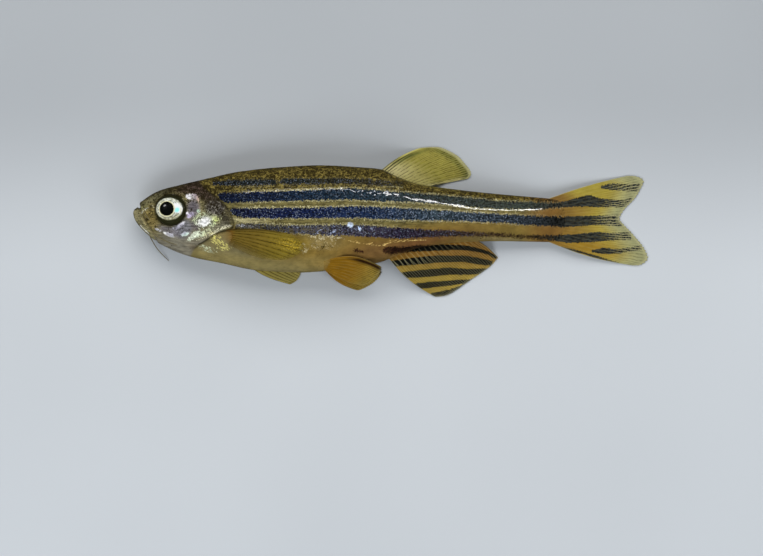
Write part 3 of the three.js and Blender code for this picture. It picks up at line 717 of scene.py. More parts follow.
# %% Stripe stations
STRIPES = [
    {
        "name": "upper",
        "band": [(5.3, 2.66, 2.45), (7.06, 2.78, 2.4), (9.25, 2.82, 2.46), (9.6, 2.66, 2.62),
                 (9.95, 2.88, 2.5), (11.02, 2.88, 2.52), (14.32, 2.88, 2.53), (16.3, 2.79, 2.4),
                 (17.8, 2.62, 2.36)],
        "tint": [(5, 30, 34, 38), (10, 30, 38, 38), (14, 36, 36, 26), (18, 52, 48, 30)],
        "ink": [(5, 0.9), (14, 0.85), (16.5, 0.55), (17.8, 0.1)],
        "sparkle": [(5, 0.8), (12, 0.7), (18, 0.5)],
    },
    {
        "name": "blue",
        "band": [(5.6, 1.85, 1.4), (5.9, 1.93, 1.27), (7.06, 1.97, 1.31), (11.02, 2.1, 1.41),
                 (14.32, 2.23, 1.47), (16.3, 2.1, 1.37), (17.62, 2.0, 1.34), (20.26, 1.8, 1.21),
                 (21.58, 1.67, 1.08), (22.9, 1.54, 0.94), (24.22, 1.41, 0.88), (25.54, 1.37, 0.84),
                 (26.86, 1.32, 0.84), (27.5, 1.27, 0.92), (28.5, 1.36, 1.0), (29.2, 1.56, 1.06),
                 (30.2, 1.76, 1.06), (30.8, 1.56, 1.02), (32.1, 1.47, 1.03), (32.94, 1.58, 1.16)],
        "tint": [(5, 12, 20, 42), (9, 16, 28, 54), (11, 20, 38, 58), (16, 26, 46, 58), (19, 42, 52, 50),
                 (25, 54, 62, 54), (28, 46, 50, 46)],
        "ink": [(5, 1), (17, 1), (20, 0.92), (27.5, 0.95), (33, 0.9)],
        "sparkle": [(5, 0.45), (16, 0.55), (20, 0.4), (25, 0.25), (27, 0)],
    },
    {
        "name": "violet",
        "band": [(6.2, 0.84, 0.74), (6.6, 0.93, 0.5), (7.06, 0.94, 0.32), (8.38, 0.94, 0.25),
                 (11.02, 0.94, 0.25), (14.32, 1.04, 0.28), (17.62, 0.94, 0.15), (20.92, 0.75, 0.09),
                 (24.22, 0.55, -0.05), (26.86, 0.42, -0.24), (28.2, 0.37, -0.3), (30.8, 0.42, -0.16),
                 (32.3, 0.45, -0.24)],
        "tint": [(6, 22, 26, 48), (11, 22, 32, 66), (16, 28, 44, 74), (20, 52, 66, 76), (24, 46, 56, 66),
                 (28, 34, 36, 34)],
        "ink": [(6, 1), (33, 1)],
        "sparkle": [(6, 0.9), (16, 1), (20, 1.7), (24, 1.4), (26.5, 0.4), (27.5, 0)],
    },
    {
        "name": "purple",
        "band": [(6.73, -0.05, -0.31), (8.38, -0.11, -0.48), (11.02, -0.21, -0.77), (12.34, -0.18, -0.84),
                 (14.32, -0.15, -0.9), (17.62, -0.38, -1.07), (20.92, -0.54, -0.94), (24.22, -0.71, -0.97),
                 (26.2, -0.84, -1.1), (27.9, -0.84, -1.22), (28.8, -0.83, -1.32), (29.8, -0.76, -1.3),
                 (30.8, -0.66, -1.24), (31.5, -0.74, -1.17), (32.9, -0.62, -1.13)],
        "tint": [(6.7, 88, 84, 80), (9, 66, 66, 74), (14, 58, 58, 78), (17.6, 42, 34, 54), (20.9, 48, 38, 46),
                 (23, 62, 46, 34), (26, 60, 46, 26), (28, 40, 42, 38)],
        "ink": [(6.7, 0.35), (10, 0.5), (13, 0.75), (16, 0.9), (17.5, 1), (21, 0.9), (25, 0.6), (28, 1)],
        "sparkle": [(6.7, 1.1), (10, 1.1), (14, 1), (18, 0.8), (21, 0.7), (24, 0)],
    },
    {
        "name": "first_blotch",
        "band": [(14.5, -1.8, -1.9), (14.7, -1.76, -1.98), (15.25, -1.88, -2.08)],
        "tint": [(14, 52, 22, 18), (16, 52, 22, 18)],
        "ink": [(14, 0.5), (16, 0.5)],
        "sparkle": [(14, 0), (16, 0)],
    },
    {
        "name": "anal_band",
        "band": [(16.5, -1.7, -2.0), (17.0, -1.6, -2.12), (17.62, -1.64, -2.04), (18.94, -1.52, -1.9),
                 (20.26, -1.5, -1.8), (21.58, -1.53, -1.76)],
        "tint": [(16, 44, 16, 14), (19, 26, 20, 18)],
        "ink": [(16, 0.6), (17.2, 0.85), (18.5, 1)],
        "sparkle": [(16, 0), (20, 0)],
    },
]
BODY_STRIPES = ("upper", "blue", "violet", "purple")


def band_depth(x, y, band):
    """How far inside a band a place lies, in mm, and negative outside it. Its ends count twice as far."""
    along, upper, lower = np.array(band, float).T
    top = curve(np.column_stack([along, upper]))(x)
    bottom = curve(np.column_stack([along, lower]))(x)
    return np.minimum.reduce([top - y, y - bottom, 2 * (x - along[0]), 2 * (along[-1] - x)])


def along_colour(x, stops):
    """A colour that changes evenly between stops (place, red, green, blue)."""
    places = [stop[0] for stop in stops]
    paints = np.array([paint(*stop[1:]) for stop in stops])
    return np.stack([np.interp(x, places, paints[:, k]) for k in range(3)], -1)


def stripe_fields(x, y):
    """Depth inside the nearest stripe, its colour, how much ink it has, and how strongly pale dots show in
    it."""
    depths = np.stack([band_depth(x, y, stripe["band"]) for stripe in STRIPES])
    nearest = depths.argmax(0)
    tint = np.choose(nearest[..., None], [along_colour(x, stripe["tint"]) for stripe in STRIPES])
    ink = np.choose(nearest, [np.interp(x, *np.array(stripe["ink"]).T) for stripe in STRIPES])
    sparkle = np.choose(nearest, [np.interp(x, *np.array(stripe["sparkle"]).T) for stripe in STRIPES])
    return depths.max(0), tint, ink, sparkle


print("stripes:", [stripe["name"] for stripe in STRIPES])

# %% [markdown]
# ## Ground colours, silver and painted light
# Between the stripes a danio is amber to olive, thick with dark specks along the back and paler at the
# throat. The head is brown over the snout, grey on the cheek and dark over the gill cover. Each region is a
# soft oval or a soft step, laid over the last like thin washes of paint. Silver lies in patches, brightest
# on the gill cover and the cheek, and along fine lines where a fold or a row of scales catches the light.
# Among it are painted highlights, white and blue-white glints where the wet skin mirrored a light. Painted
# shade darkens the eye's rim, the mouth's groove, the nostril's pit and the gill slit.

# %% Ground colours of the flank
above_middle, below_middle = back_line(S) - widest_height(S), widest_height(S) - belly_line(S)
share_up = (Y - widest_height(S)) / np.where(Y > widest_height(S), above_middle, below_middle)


def tail_base(x):
    """Colours where the flesh runs out on the tail fin, shared by both: amber, and more yellow to the
    rear."""
    return lay(even_coat(x, 124, 92, 44), paint(152, 128, 54), soft_step(x, 27.6, 31))


# Each patch is its centre, its half length and half height, its turn in degrees, its colour and its share.
GROUND_PATCHES = [
    ((7.4, 0.12), (1.4, 0.15), -4, (172, 164, 122), 0.85),
    ((12.4, -1.3), (1.6, 0.5), -3, (136, 120, 76), 0.75),
    ((10.8, -1.45), (0.8, 0.5), 0, (156, 132, 40), 0.85),
    ((18.3, -1.5), (3.4, 0.5), 12, (120, 80, 46), 0.9),
    ((15.9, -1.9), (1.7, 0.7), 6, (122, 92, 52), 0.9),
    ((6.6, -1.0), (0.5, 0.55), 0, (116, 86, 34), 0.8),
    ((5.5, -1.5), (1.0, 0.4), -12, (114, 104, 68), 0.85),
    ((12.5, -2.75), (1.6, 0.35), 3, (146, 122, 62), 0.6),
    ((24.5, -1.15), (2.2, 0.2), -3, (134, 122, 84), 0.7),
]
ground = lay_coats(even_coat(S, 110, 102, 61), [
    ((130, 115, 56), soft_step(share_up, 0.3, 0.8)),
    ((130, 105, 46), soft_step(-share_up, 0.15, 0.5)),
    ((126, 118, 84), soft_step(-share_up, 0.1, 0.6) * (1 - soft_step(S, 6.5, 10.5))),
    ((142, 128, 78), soft_step(-share_up, 0.6, 0.9) * (1 - soft_step(S, 11, 15))),
    ((126, 106, 52), soft_step(S, 17, 24) * soft_step(-share_up, -0.4, 0.2)),
])
for centre, reach, tilt, colour, share in GROUND_PATCHES:
    ground = lay(ground, paint(*colour), share * spot(S, Y, centre, reach, tilt))
ground = lay(ground, tail_base(S), soft_step(S, 25.2, 27.4))
print("flank colours laid")

# %% Ground colours of the head
HEAD_PATCHES = [
    ((1.2, 0.4), (0.5, 0.9), 20, (136, 120, 70), 0.8),
    ((0.7, 1.0), (0.4, 0.3), 40, (122, 120, 82), 0.7),
    ((1.6, 1.7), (1.0, 0.25), 28, (112, 110, 84), 0.6),
    ((3.3, -0.4), (0.8, 0.7), 30, (112, 112, 119), 0.9),
    ((2.4, -0.6), (0.8, 0.34), -22, (116, 112, 116), 0.85),
    ((2.6, -1.2), (1.0, 0.35), -25, (126, 122, 106), 0.7),
    ((4.0, 0.9), (0.45, 0.7), 0, (112, 106, 114), 0.9),
    ((4.2, -0.1), (0.35, 0.6), 10, (88, 82, 88), 0.8),
    ((4.85, 0.1), (0.7, 0.5), 10, (92, 94, 76), 0.8),
    ((5.45, 0.95), (0.8, 0.75), -20, (56, 52, 50), 0.95),
    ((6.1, 0.1), (0.4, 0.5), 0, (70, 66, 56), 0.85),
    ((5.2, -0.5), (1.1, 0.3), 22, (124, 121, 102), 0.8),
    ((4.6, 1.9), (0.9, 0.45), -25, (66, 54, 50), 0.9),
    ((4.1, 2.3), (1.3, 0.42), 14, (76, 62, 56), 0.9),
    ((4.6, -1.9), (0.9, 0.3), -22, (104, 88, 62), 0.7),
]
head_ground = lay_coats(even_coat(S, 122, 114, 76), [
    ((132, 126, 108), soft_step(-Y, 0.5, 1.4)),
    ((144, 136, 98), soft_step(-from_jaw_edge, -0.04, 0.06)),
    ((86, 78, 46), soft_step(share_up, 0.7, 0.95)),
])
for centre, reach, tilt, colour, share in HEAD_PATCHES:
    near = soft_step(spot(S, Y, centre, reach, tilt), 0.1, 0.75)
    head_ground = lay(head_ground, paint(*colour), share * near)
head_ground = lay_coats(head_ground, [
    # Partly painted shade: a dark ring round the eye, the skin's own dark rim and the shade of the socket's
    # fold.
    ((44, 42, 22), 0.95 * ridge(from_eye, 1.0, 0.12)),
    # Painted shade along the mouth's groove.
    ((76, 62, 40), 0.6 * ridge(from_mouth, 0, 0.05)),
    # Painted shade in the nostril's pit.
    ((36, 30, 22), 0.8 * spot(S, Y, NOSTRIL, (0.11, 0.09))),
])
on_head = 1 - soft_step(behind_gill, -0.05, 0.12)
ground = lay(ground, head_ground, on_head)
# Painted shade in the gill slit: a dark line along the opening behind the gill cover.
opening_shade = ridge(behind_gill, 0.05, 0.07) * soft_step(2.6 - Y, 0, 0.5) * soft_step(Y, -1.9, -1.5)
ground = lay(ground, paint(34, 28, 20), 0.8 * opening_shade)
print("head colours laid")

# %% Glitter and painted highlights in patches
# As the patches of colour, with how strongly each glitters in place of the share. Most are the fish's
# silver; the ones marked below are painted highlights, glints of a light in the wet skin.
SILVER_AND_GLINTS = [
    ((4.85, 0.2), (1.35, 0.85), 12, (220, 234, 184), 0.94),
    ((4.75, -0.72), (0.95, 0.28), 22, (226, 236, 200), 1.05),
    ((5.35, 0.32), (0.46, 0.36), 0, (218, 232, 130), 1.15),
    ((4.35, 0.75), (0.22, 0.16), 20, (214, 240, 214), 1.05),
    # Painted highlights, the next two: the white core of the gill cover.
    ((4.72, 0.02), (0.62, 0.42), 25, (250, 255, 244), 1.3),
    ((4.72, 0.0), (0.3, 0.24), 25, (255, 255, 252), 1.7),
    ((4.0, -0.9), (0.7, 0.26), 38, (234, 242, 218), 1.15),
    ((4.05, 1.66), (0.5, 0.3), -12, (206, 190, 198), 0.95),
    ((3.72, 1.68), (0.32, 0.22), -10, (240, 238, 242), 1.3),
    ((4.3, 1.5), (0.07, 0.27), 12, (232, 200, 182), 1.3),
    ((3.78, 0.47), (0.42, 0.24), 28, (206, 194, 224), 1.15),
    # Painted highlights, the next five: white and cyan glints beside and under the eye, on the cheek and by
    # the jaw.
    ((3.6, 0.6), (0.14, 0.1), 28, (246, 240, 252), 1.4),
    ((3.15, -0.2), (0.52, 0.14), 38, (244, 242, 250), 1.5),
    ((3.42, -0.78), (0.36, 0.17), 12, (222, 248, 234), 1.5),
    ((2.36, -0.8), (0.48, 0.14), -24, (255, 255, 255), 1.8),
    ((1.66, -0.5), (0.32, 0.13), -24, (230, 230, 236), 1.2),
    ((2.9, -0.35), (0.6, 0.12), 8, (206, 204, 214), 0.85),
    ((3.1, -0.5), (1.0, 0.45), 20, (184, 182, 196), 0.62),
    # Painted highlights, the next two: glints along the gill cover's lower rear edge.
    ((5.6, -0.55), (1.0, 0.16), 24, (236, 232, 196), 1.0),
    ((6.35, -0.24), (0.24, 0.1), 20, (246, 238, 208), 1.0),
    ((5.75, -1.35), (1.15, 0.5), -38, (216, 206, 120), 0.95),
    ((4.9, -1.75), (0.95, 0.28), -18, (200, 206, 170), 0.9),
    ((5.45, 0.95), (0.95, 0.7), -20, (142, 136, 126), 0.74),
    ((4.6, 1.95), (1.1, 0.3), -24, (132, 108, 98), 0.6),
    # Painted highlight: glints by the nostril.
    ((0.75, 0.75), (0.5, 0.09), 32, (222, 218, 190), 0.9),
    ((1.35, 0.55), (0.5, 0.6), 0, (150, 132, 70), 0.55),
    # Painted highlights, the next five: blue-white glints on the flank's lowest stripe.
    ((14.35, -0.18), (0.26, 0.28), 20, (206, 222, 255), 1.4),
    ((14.95, -0.4), (0.16, 0.24), 20, (196, 214, 250), 1.3),
    ((15.75, -0.42), (0.1, 0.16), 20, (196, 206, 246), 1.1),
    ((13.15, -0.7), (0.5, 0.14), 40, (190, 204, 240), 0.95),
    ((12.3, -0.6), (0.3, 0.12), 40, (186, 200, 236), 0.9),
    ((12.4, -1.5), (1.7, 0.5), 0, (184, 168, 124), 0.74),
    ((11.3, -1.7), (0.5, 0.5), 0, (200, 188, 146), 0.85),
    ((12.7, -1.02), (1.8, 0.2), -3, (224, 212, 172), 0.84),
    ((7.4, 0.12), (1.7, 0.18), -4, (222, 214, 168), 0.66),
    ((7.6, -0.25), (1.3, 0.14), -3, (196, 196, 198), 0.85),
]
silver_and_glints = 0.1 * (1 - soft_step(-share_up, 0.3, 0.6))
silver_and_glint_tint = even_coat(S, 190, 180, 124)
for centre, reach, tilt, colour, strength in SILVER_AND_GLINTS:
    near = soft_step(spot(S, Y, centre, reach, tilt), 0.12, 0.8)
    silver_and_glint_tint = lay(silver_and_glint_tint, paint(*colour), near)
    silver_and_glints = np.maximum(silver_and_glints, strength * near)
print("glitter patches:", len(SILVER_AND_GLINTS))

# %% Glitter and painted highlights along lines
GLINT_STRENGTH = 1.3
# Each line is its points, its half width and its colour.
GLINT_LINES = [
    ([(14.2, -1.2), (14.9, -1.37), (15.6, -1.45), (16.3, -1.54), (16.7, -1.46)], 0.05, (236, 196, 112)),
    ([(14.7, -1.2), (15.2, -1.42), (15.8, -1.36)], 0.035, (232, 190, 110)),
    ([(16.6, -1.42), (17.3, -1.32), (18.35, -1.21), (19.35, -1.17)], 0.04, (240, 200, 116)),
    ([(16.8, -1.24), (17.6, -1.2), (18.2, -1.14)], 0.03, (226, 186, 104)),
    # Painted highlights, the next three: along the jaw's lip and by the nostril.
    ([(0.48, -0.2), (0.75, -0.48), (1.07, -0.76)], 0.05, (250, 250, 240)),
    ([(0.65, 0.6), (0.8, 0.85), (1.0, 0.95)], 0.035, (236, 234, 214)),
    ([(1.1, 1.16), (1.3, 1.1), (1.42, 0.96)], 0.03, (226, 222, 196)),
    # Partly pale seam and partly painted highlight: a cream line along the top of the blue stripe.
    ([(7.2, 1.99), (9, 2.07), (11, 2.13), (13, 2.2), (14.2, 2.24)], 0.035, (244, 238, 200)),
    # Painted highlights, the next two: along the gill cover's lower edge.
    ([(4.2, -1.2), (5.08, -0.87), (5.74, -0.5), (6.5, -0.28)], 0.035, (244, 238, 206)),
    ([(4.9, -0.78), (5.3, -0.58), (5.75, -0.36), (6.3, -0.16)], 0.025, (236, 232, 204)),
]
for line, width, colour in GLINT_LINES:
    near = ridge(beside(S, Y, through(line, 24)), 0, width)
    silver_and_glint_tint = lay(silver_and_glint_tint, paint(*colour), near)
    silver_and_glints = np.maximum(silver_and_glints, GLINT_STRENGTH * near)
print("glitter lines:", len(GLINT_LINES))

# %% [markdown]
# ## What the skin's material reads
# The mesh carries a number or a colour for each of its points, and the material turns them into fine detail.
# A number can say how strong a pattern is there: how many specks, how strong the streaks, how pale the seams
# along the stripes. So one material serves head and flank, and changes softly from one to the other.

# %% Specks and streaks
on_belly = soft_step(-share_up, 0.2, 0.45)
flank_specks = 0.35 + 0.65 * soft_step(share_up, 0.35, 0.7) - 0.35 * on_belly
flank_specks += 0.3 * spot(S, Y, (23, -1.0), (5, 0.35)) + 0.3 * spot(S, Y, (7.5, -0.2), (2, 0.3))
flank_specks += 0.5 * spot(S, Y, (12.2, -1.6), (1.2, 0.4))
head_specks = 0.45 + 0.45 * soft_step(Y, 0.9, 2.2) - 0.35 * soft_step(-Y, 0.5, 1.2)
speckle = mix(flank_specks, head_specks, on_head)
speckle += 0.45 * spot(S, Y, (5.4, 0.9), (0.8, 0.8)) + 0.4 * spot(S, Y, (4.3, 2.2), (1.2, 0.5))
speckle += 0.22 * spot(S, Y, (1.1, 0.5), (0.6, 0.8))
texture = mix(1 - 0.85 * on_belly, 1 - 0.5 * soft_step(-Y, 0.6, 1.2), on_head)
texture *= 1 - soft_step(S, 24, 27.5)
brushed = spot(S, Y, (5.6, -1.45), (1.4, 0.7), -30)
print("specks from", round(float(speckle.min()), 2), "to", round(float(speckle.max()), 2))

# %% Stripes and their pale seams
stripe_depth, stripe_tint, stripe_ink, sparkle = stripe_fields(S, Y)
stripe_depth = stripe_depth - 0.6 * (1 - soft_step(behind_gill, -0.1, 0.25))
behind_shoulder = soft_step(S, 6.5, 8)
seam_light = 0.75 * behind_shoulder * (1 - 0.7 * soft_step(S, 24, 27)) * (1 - on_belly)
seam_light *= 1 - 0.85 * soft_step(Y, 2.3, 2.4)
violet_top = 1.0 - 0.03 * (S - 14).clip(0)
seam_light += 0.25 * behind_shoulder * (1 - soft_step(S, 24, 27)) * ridge(Y, violet_top, 0.15)
print("share of the skin in stripes:", round(float((stripe_depth > 0).mean()), 2))

# %% The skin's mesh
skin = make_piece("skin", skin_grid, "points", {
    "ground": ground, "stripe_depth": stripe_depth, "stripe_tint": stripe_tint, "stripe_ink": stripe_ink,
    "sparkle": sparkle, "speckle": np.clip(speckle, 0, 1), "texture": texture, "silver_and_glints": silver_and_glints,
    "silver_and_glint_tint": silver_and_glint_tint, "brushed": brushed, "seam_light": seam_light, "scale_edge": scale_edge,
})
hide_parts("head", "lower_jaw", "gill_cover_left", "gill_cover_right", "trunk", "tail", "tail_stalk")

# %% [markdown]
# ## The finish of wet skin
# A living danio is see-through in its outer skin, with grains of dark, yellow and silver pigment at
# different depths, under a film of water. The ground colour comes from the mesh. Over it lie fine lengthwise
# streaks, dark worm-like specks, the stripes with frayed edges and thin pale seams, and silver that glitters
# in many tints, with painted highlights among it. The water is a clear coat with its own slow ripples, so
# that its highlights break up.

# %% Skin: ground, streaks and specks
skin_finish, skin_shader = material("wet_skin")
tree = skin_finish.node_tree


def hairlines(tree, size, width):
    """1 on thin winding lines, where a grain passes its middle value, and 0 off them."""
    off_middle = maths(tree, "ABSOLUTE", maths(tree, "SUBTRACT", grain(tree, size, 2), 0.5))
    return between(tree, off_middle, 0, width, 1, 0)


mottle = between(tree, grain(tree, 0.7, 2), 0.3, 0.7, 0.84, 1.16)
mottled = toned(tree, colour_field(tree, "ground"), mottle)
streaks = between(tree, grain(tree, 0.11, detail=3, stretch=(4, 1, 4)), 0.33, 0.67, 0.58, 1.42)
streaked = toned(tree, mottled, streaks, field(tree, "texture"))
worms = grain(tree, 0.17, detail=3, distortion=1.2)
worm_edge = maths(tree, "SUBTRACT", 0.72, times(tree, field(tree, "speckle"), 0.25))
worm_share = between(tree, maths(tree, "SUBTRACT", worms, worm_edge), -0.02, 0.02, 0, 0.9)
specked = blend(tree, worm_share, streaked, paint(34, 27, 8))
cracks = times(tree, hairlines(tree, 0.2, 0.03), field(tree, "speckle"), 0.5)
cracked = blend(tree, cracks, specked, paint(36, 28, 18))
scale_lines = times(tree, field(tree, "scale_edge"), 0.14)
scaled_ground = blend(tree, scale_lines, cracked, paint(60, 52, 30))
print("skin nodes with the ground:", len(tree.nodes))


# %% Skin: stripes
def frayed(tree, depth, coarse, fine):
    """A depth whose edge is frayed by two grains: coarse ragged ones and fine upright teeth, each by so many
    mm."""
    rags = sway(tree, coarse, 0.2)
    teeth = sway(tree, fine, 0.065, 1, (1, 2.5, 1))
    return maths(tree, "ADD", depth, maths(tree, "ADD", rags, teeth))


SEAM_OUT, SEAM_WIDTH = 0.035, 0.045

depth = frayed(tree, field(tree, "stripe_depth"), 0.16, 0.42)
from_seam = maths(tree, "ABSOLUTE", maths(tree, "ADD", depth, SEAM_OUT))
seam = between(tree, from_seam, 0.0, SEAM_WIDTH, 1, 0)
patchy = between(tree, grain(tree, 0.1, 2), 0.4, 0.6, 0.2, 1)
seam_share = times(tree, seam, patchy, field(tree, "seam_light"))
seamed = blend(tree, seam_share, scaled_ground, paint(236, 228, 176))
pigment_tone = between(tree, grain(tree, 0.1, 2, (1.3, 1, 1.3)), 0.36, 0.64, 0.1, 1.4)
pigment = toned(tree, colour_field(tree, "stripe_tint"), pigment_tone)
pale_dot = blend(tree, 0.6, colour_field(tree, "stripe_tint"), paint(160, 174, 196))
crowded = between(tree, grain(tree, 0.3, 2), 0.35, 0.6, 0.3, 1)
dot_share = times(tree, dots(tree, 0.11, 0.22), times(tree, crowded, field(tree, "sparkle")))
dotted = blend(tree, dot_share, pigment, pale_dot)
thin_ink = between(tree, grain(tree, 0.15, 2), 0.4, 0.6, 1, 0)
missing = times(tree, thin_ink, less(tree, field(tree, "stripe_ink")))
inside = times(tree, between(tree, depth, -0.02, 0.02), less(tree, missing))
striped = blend(tree, inside, seamed, dotted)
print("skin nodes with the stripes:", len(tree.nodes))

# %% Skin: silver and painted highlights
FLAKE_TURN = -40

round_flakes = grain(tree, 0.14, 4, distortion=1, roughness=0.7)
long_flakes = grain(tree, 0.075, 2, (2.6, 1, 1), distortion=0.2, turn=FLAKE_TURN)
flake_kinds = {0: field(tree, "brushed"), 2: round_flakes, 3: long_flakes}
flakes = add(tree, "ShaderNodeMix", flake_kinds).outputs[0]
flake_edge = maths(tree, "SUBTRACT", 0.78, times(tree, field(tree, "silver_and_glints"), 0.29))
# Silver flakes, and with them the painted highlights, cut out by the grains.
silver_and_glint_share = between(tree, maths(tree, "SUBTRACT", flakes, flake_edge), -0.01, 0.02)
flake_tone = between(tree, grain(tree, 0.22, 2), 0.35, 0.65, 0.6, 1.15)
silver_and_glint_paint = toned(tree, colour_field(tree, "silver_and_glint_tint"), flake_tone)
finished = blend(tree, times(tree, silver_and_glint_share, 0.95), striped, silver_and_glint_paint)
print("skin nodes with the glitter:", len(tree.nodes))

# %% Skin: wet surface
BARE_ROUGHNESS, FLAKE_ROUGHNESS = 0.5, 0.3
WATER_COAT, WATER_ROUGHNESS = 0.7, 0.03
RIPPLE_LENGTH, RIPPLE_HEIGHT = 0.45, 0.08 * MM

plug(tree, skin_shader.inputs["Base Color"], finished)
roughness = between(tree, silver_and_glint_share, 0, 1, BARE_ROUGHNESS, FLAKE_ROUGHNESS)
plug(tree, skin_shader.inputs["Roughness"], roughness)
skin_bump = add(tree, "ShaderNodeBump", {"Height": worms, "Strength": 0.2, "Distance": 0.02 * MM})
plug(tree, skin_shader.inputs["Normal"], skin_bump.outputs[0])
ripples = grain(tree, RIPPLE_LENGTH, 1, (1.3, 1, 1))
film = add(tree, "ShaderNodeBump", {"Height": ripples, "Strength": 0.1, "Distance": RIPPLE_HEIGHT})
plug(tree, skin_shader.inputs["Coat Normal"], film.outputs[0])
skin_shader.inputs["Coat Weight"].default_value = WATER_COAT
skin_shader.inputs["Coat Roughness"].default_value = WATER_ROUGHNESS
skin_shader.inputs["Specular IOR Level"].default_value = 0.15
skin.data.materials.append(skin_finish)
print("skin nodes in all:", len(tree.nodes))

# %% [markdown]
# ## Eyes
# A fish's eye is a ball with a nearly flat, clear front. The iris is a silver ring, yellow and darkened by
# painted shade towards the belly, with a painted highlight towards the tail, white round a cyan core. The
# black pupil stands proud of it, because the round lens bulges through. The ball is a dome of rings over a
# somewhat deeper bowl. It faces the way the skin faces at that place, which is outwards and a little
# forwards. A glossy coat stands for the clear front.

# %% Eyeballs
EYE_BULGE = 0.34
EYE_BACK = 0.45
EYE_SINK = 0.14
LEAN_OVER = 0.4
LENS_RISE, LENS_TOP, LENS_MOAT = 0.05, 0.3, 0.03
EYE_RINGS = 60
EYE_AROUND = 96
PUPIL_RADIUS = 0.46
IRIS_REACH = (0.97, 0.81)
IRIS_CENTRE = (-0.05, 0.05)


def eyeball(flank):
    """Rings of points for an eyeball. Over the front the radius is the sine and the height the cosine of a
    quarter turn, and the same behind with a depth of its own. The pupil stands up as a low plateau with a
    fine moat round it. The whole leans as the skin does, by the slopes of its level over a stretch round the
    eye."""
    rise = np.linspace(0.02, 1, EYE_RINGS) ** 0.9 * np.pi / 2
    sink = np.linspace(1, 0.06, EYE_RINGS // 4)[1:] * np.pi / 2
    radius = EYE_RADIUS * np.concatenate([np.sin(rise), np.sin(sink)])[:, None]
    height = np.concatenate([EYE_BULGE * np.cos(rise), -EYE_BACK * np.cos(sink)])[:, None]
    round_eye = np.linspace(0, 2 * np.pi, EYE_AROUND, endpoint=False)[None, :]
    x, y = radius * np.cos(round_eye), radius * np.sin(round_eye)
    from_pupil = np.hypot(x - (PUPIL[0] - EYE[0]), y - (PUPIL[1] - EYE[1]))
    lens = LENS_RISE * (1 - soft_step(from_pupil, LENS_TOP, PUPIL_RADIUS))
    lens -= LENS_MOAT * ridge(from_pupil, PUPIL_RADIUS + 0.05, 0.05)
    height = height + (height > 0) * lens
    slope_s, slope_y = skin_slopes(*EYE, flank, LEAN_OVER)
    level = skin_level(*EYE, flank) - flank * EYE_SINK
    z = level + slope_s * x + slope_y * y + flank * height
    leaning = (EYE[0] + x - flank * slope_s * height, EYE[1] + y - flank * slope_y * height, z)
    fields = {
        "from_pupil": from_pupil,
        "iris": np.hypot((x - IRIS_CENTRE[0]) / IRIS_REACH[0], (y - IRIS_CENTRE[1]) / IRIS_REACH[1]),
        # Painted highlight on the iris: a pale wedge towards the tail, with a cyan core.
        "iris_glint": soft_step(spot(x, y, (0.5, 0.1), (0.38, 0.3), -38), 0.22, 0.55),
        "cyan": soft_step(spot(x, y, (0.5, -0.02), (0.2, 0.16), 45), 0.2, 0.8),
        # Partly painted shade: the iris grows yellower and darker towards the belly.
        "dusk_and_shade": soft_step(-y, -0.1, 0.8),
    }
    return np.stack(np.broadcast_arrays(*leaning), -1), fields


eyes = []
for flank, name in ((LEFT, "eye_left"), (RIGHT, "eye_right")):
    grid, fields = eyeball(flank)
    eye = make_piece("shown_" + name, grid, "points", fields)
    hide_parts(name)
    eyes.append(eye)

# %% Iris
eye_finish, eye_shader = material("eye")
tree = eye_finish.node_tree
wobble = sway(tree, 0.07, 0.25)
ring = maths(tree, "ADD", field(tree, "from_pupil"), wobble)
iris = maths(tree, "ADD", field(tree, "iris"), wobble)
silver_grain = between(tree, grain(tree, 0.13, 2), 0.38, 0.62)
silver = blend(tree, silver_grain, paint(150, 155, 136), paint(246, 250, 240))
# Yellow-brown towards the belly, partly painted shade.
yellowed_and_shaded = blend(tree, times(tree, field(tree, "dusk_and_shade"), 0.75), silver, paint(124, 118, 70))
veins = times(tree, hairlines(tree, 0.16, 0.04), times(tree, field(tree, "dusk_and_shade"), 0.7))
veined = blend(tree, veins, yellowed_and_shaded, paint(64, 58, 30))
# The painted highlight laid over the iris, white and then cyan.
lit = blend(tree, field(tree, "iris_glint"), veined, paint(252, 255, 254))
lit = blend(tree, field(tree, "cyan"), lit, paint(160, 246, 242))
print("eye nodes with the iris:", len(tree.nodes))

# %% Rings, pupil and clear coat
RING_START, RING_SPACING = 0.6, 0.06
CREAM_RING, IRIS_EDGE = 0.83, (0.88, 0.95)
INNER_RING = (0.51, 0.56)
PUPIL_EDGE = (PUPIL_RADIUS, PUPIL_RADIUS + 0.025)

ripple = maths(tree, "PINGPONG", maths(tree, "SUBTRACT", ring, RING_START), RING_SPACING)
rings = times(tree, between(tree, ripple, 0, 0.025, 0.7, 0), less(tree, field(tree, "iris_glint")))
ringed = blend(tree, rings, lit, paint(84, 78, 46))
from_cream = maths(tree, "ABSOLUTE", maths(tree, "SUBTRACT", iris, CREAM_RING))
worn = between(tree, grain(tree, 0.2, 2), 0.38, 0.6, 0.9, 0.1)
cream_share = times(tree, worn, less(tree, between(tree, from_cream, 0.02, 0.06)))
creamed = blend(tree, cream_share, ringed, paint(230, 228, 196))
inner = blend(tree, between(tree, ring, *INNER_RING, 1, 0), creamed, paint(226, 222, 180))
# Partly painted shade: the dark outer edge of the iris, where the socket's fold shades it.
edged = blend(tree, between(tree, iris, *IRIS_EDGE), inner, paint(40, 40, 22))
with_pupil = blend(tree, between(tree, ring, *PUPIL_EDGE, 1, 0), edged, paint(10, 12, 11))
plug(tree, eye_shader.inputs["Base Color"], with_pupil)
eye_shader.inputs["Roughness"].default_value = 0.3
eye_shader.inputs["Specular IOR Level"].default_value = 0.2
eye_shader.inputs["Coat Weight"].default_value = 1
eye_shader.inputs["Coat Roughness"].default_value = 0.02
for eye in eyes:
    eye.data.materials.append(eye_finish)
print("eye nodes in all:", len(tree.nodes))

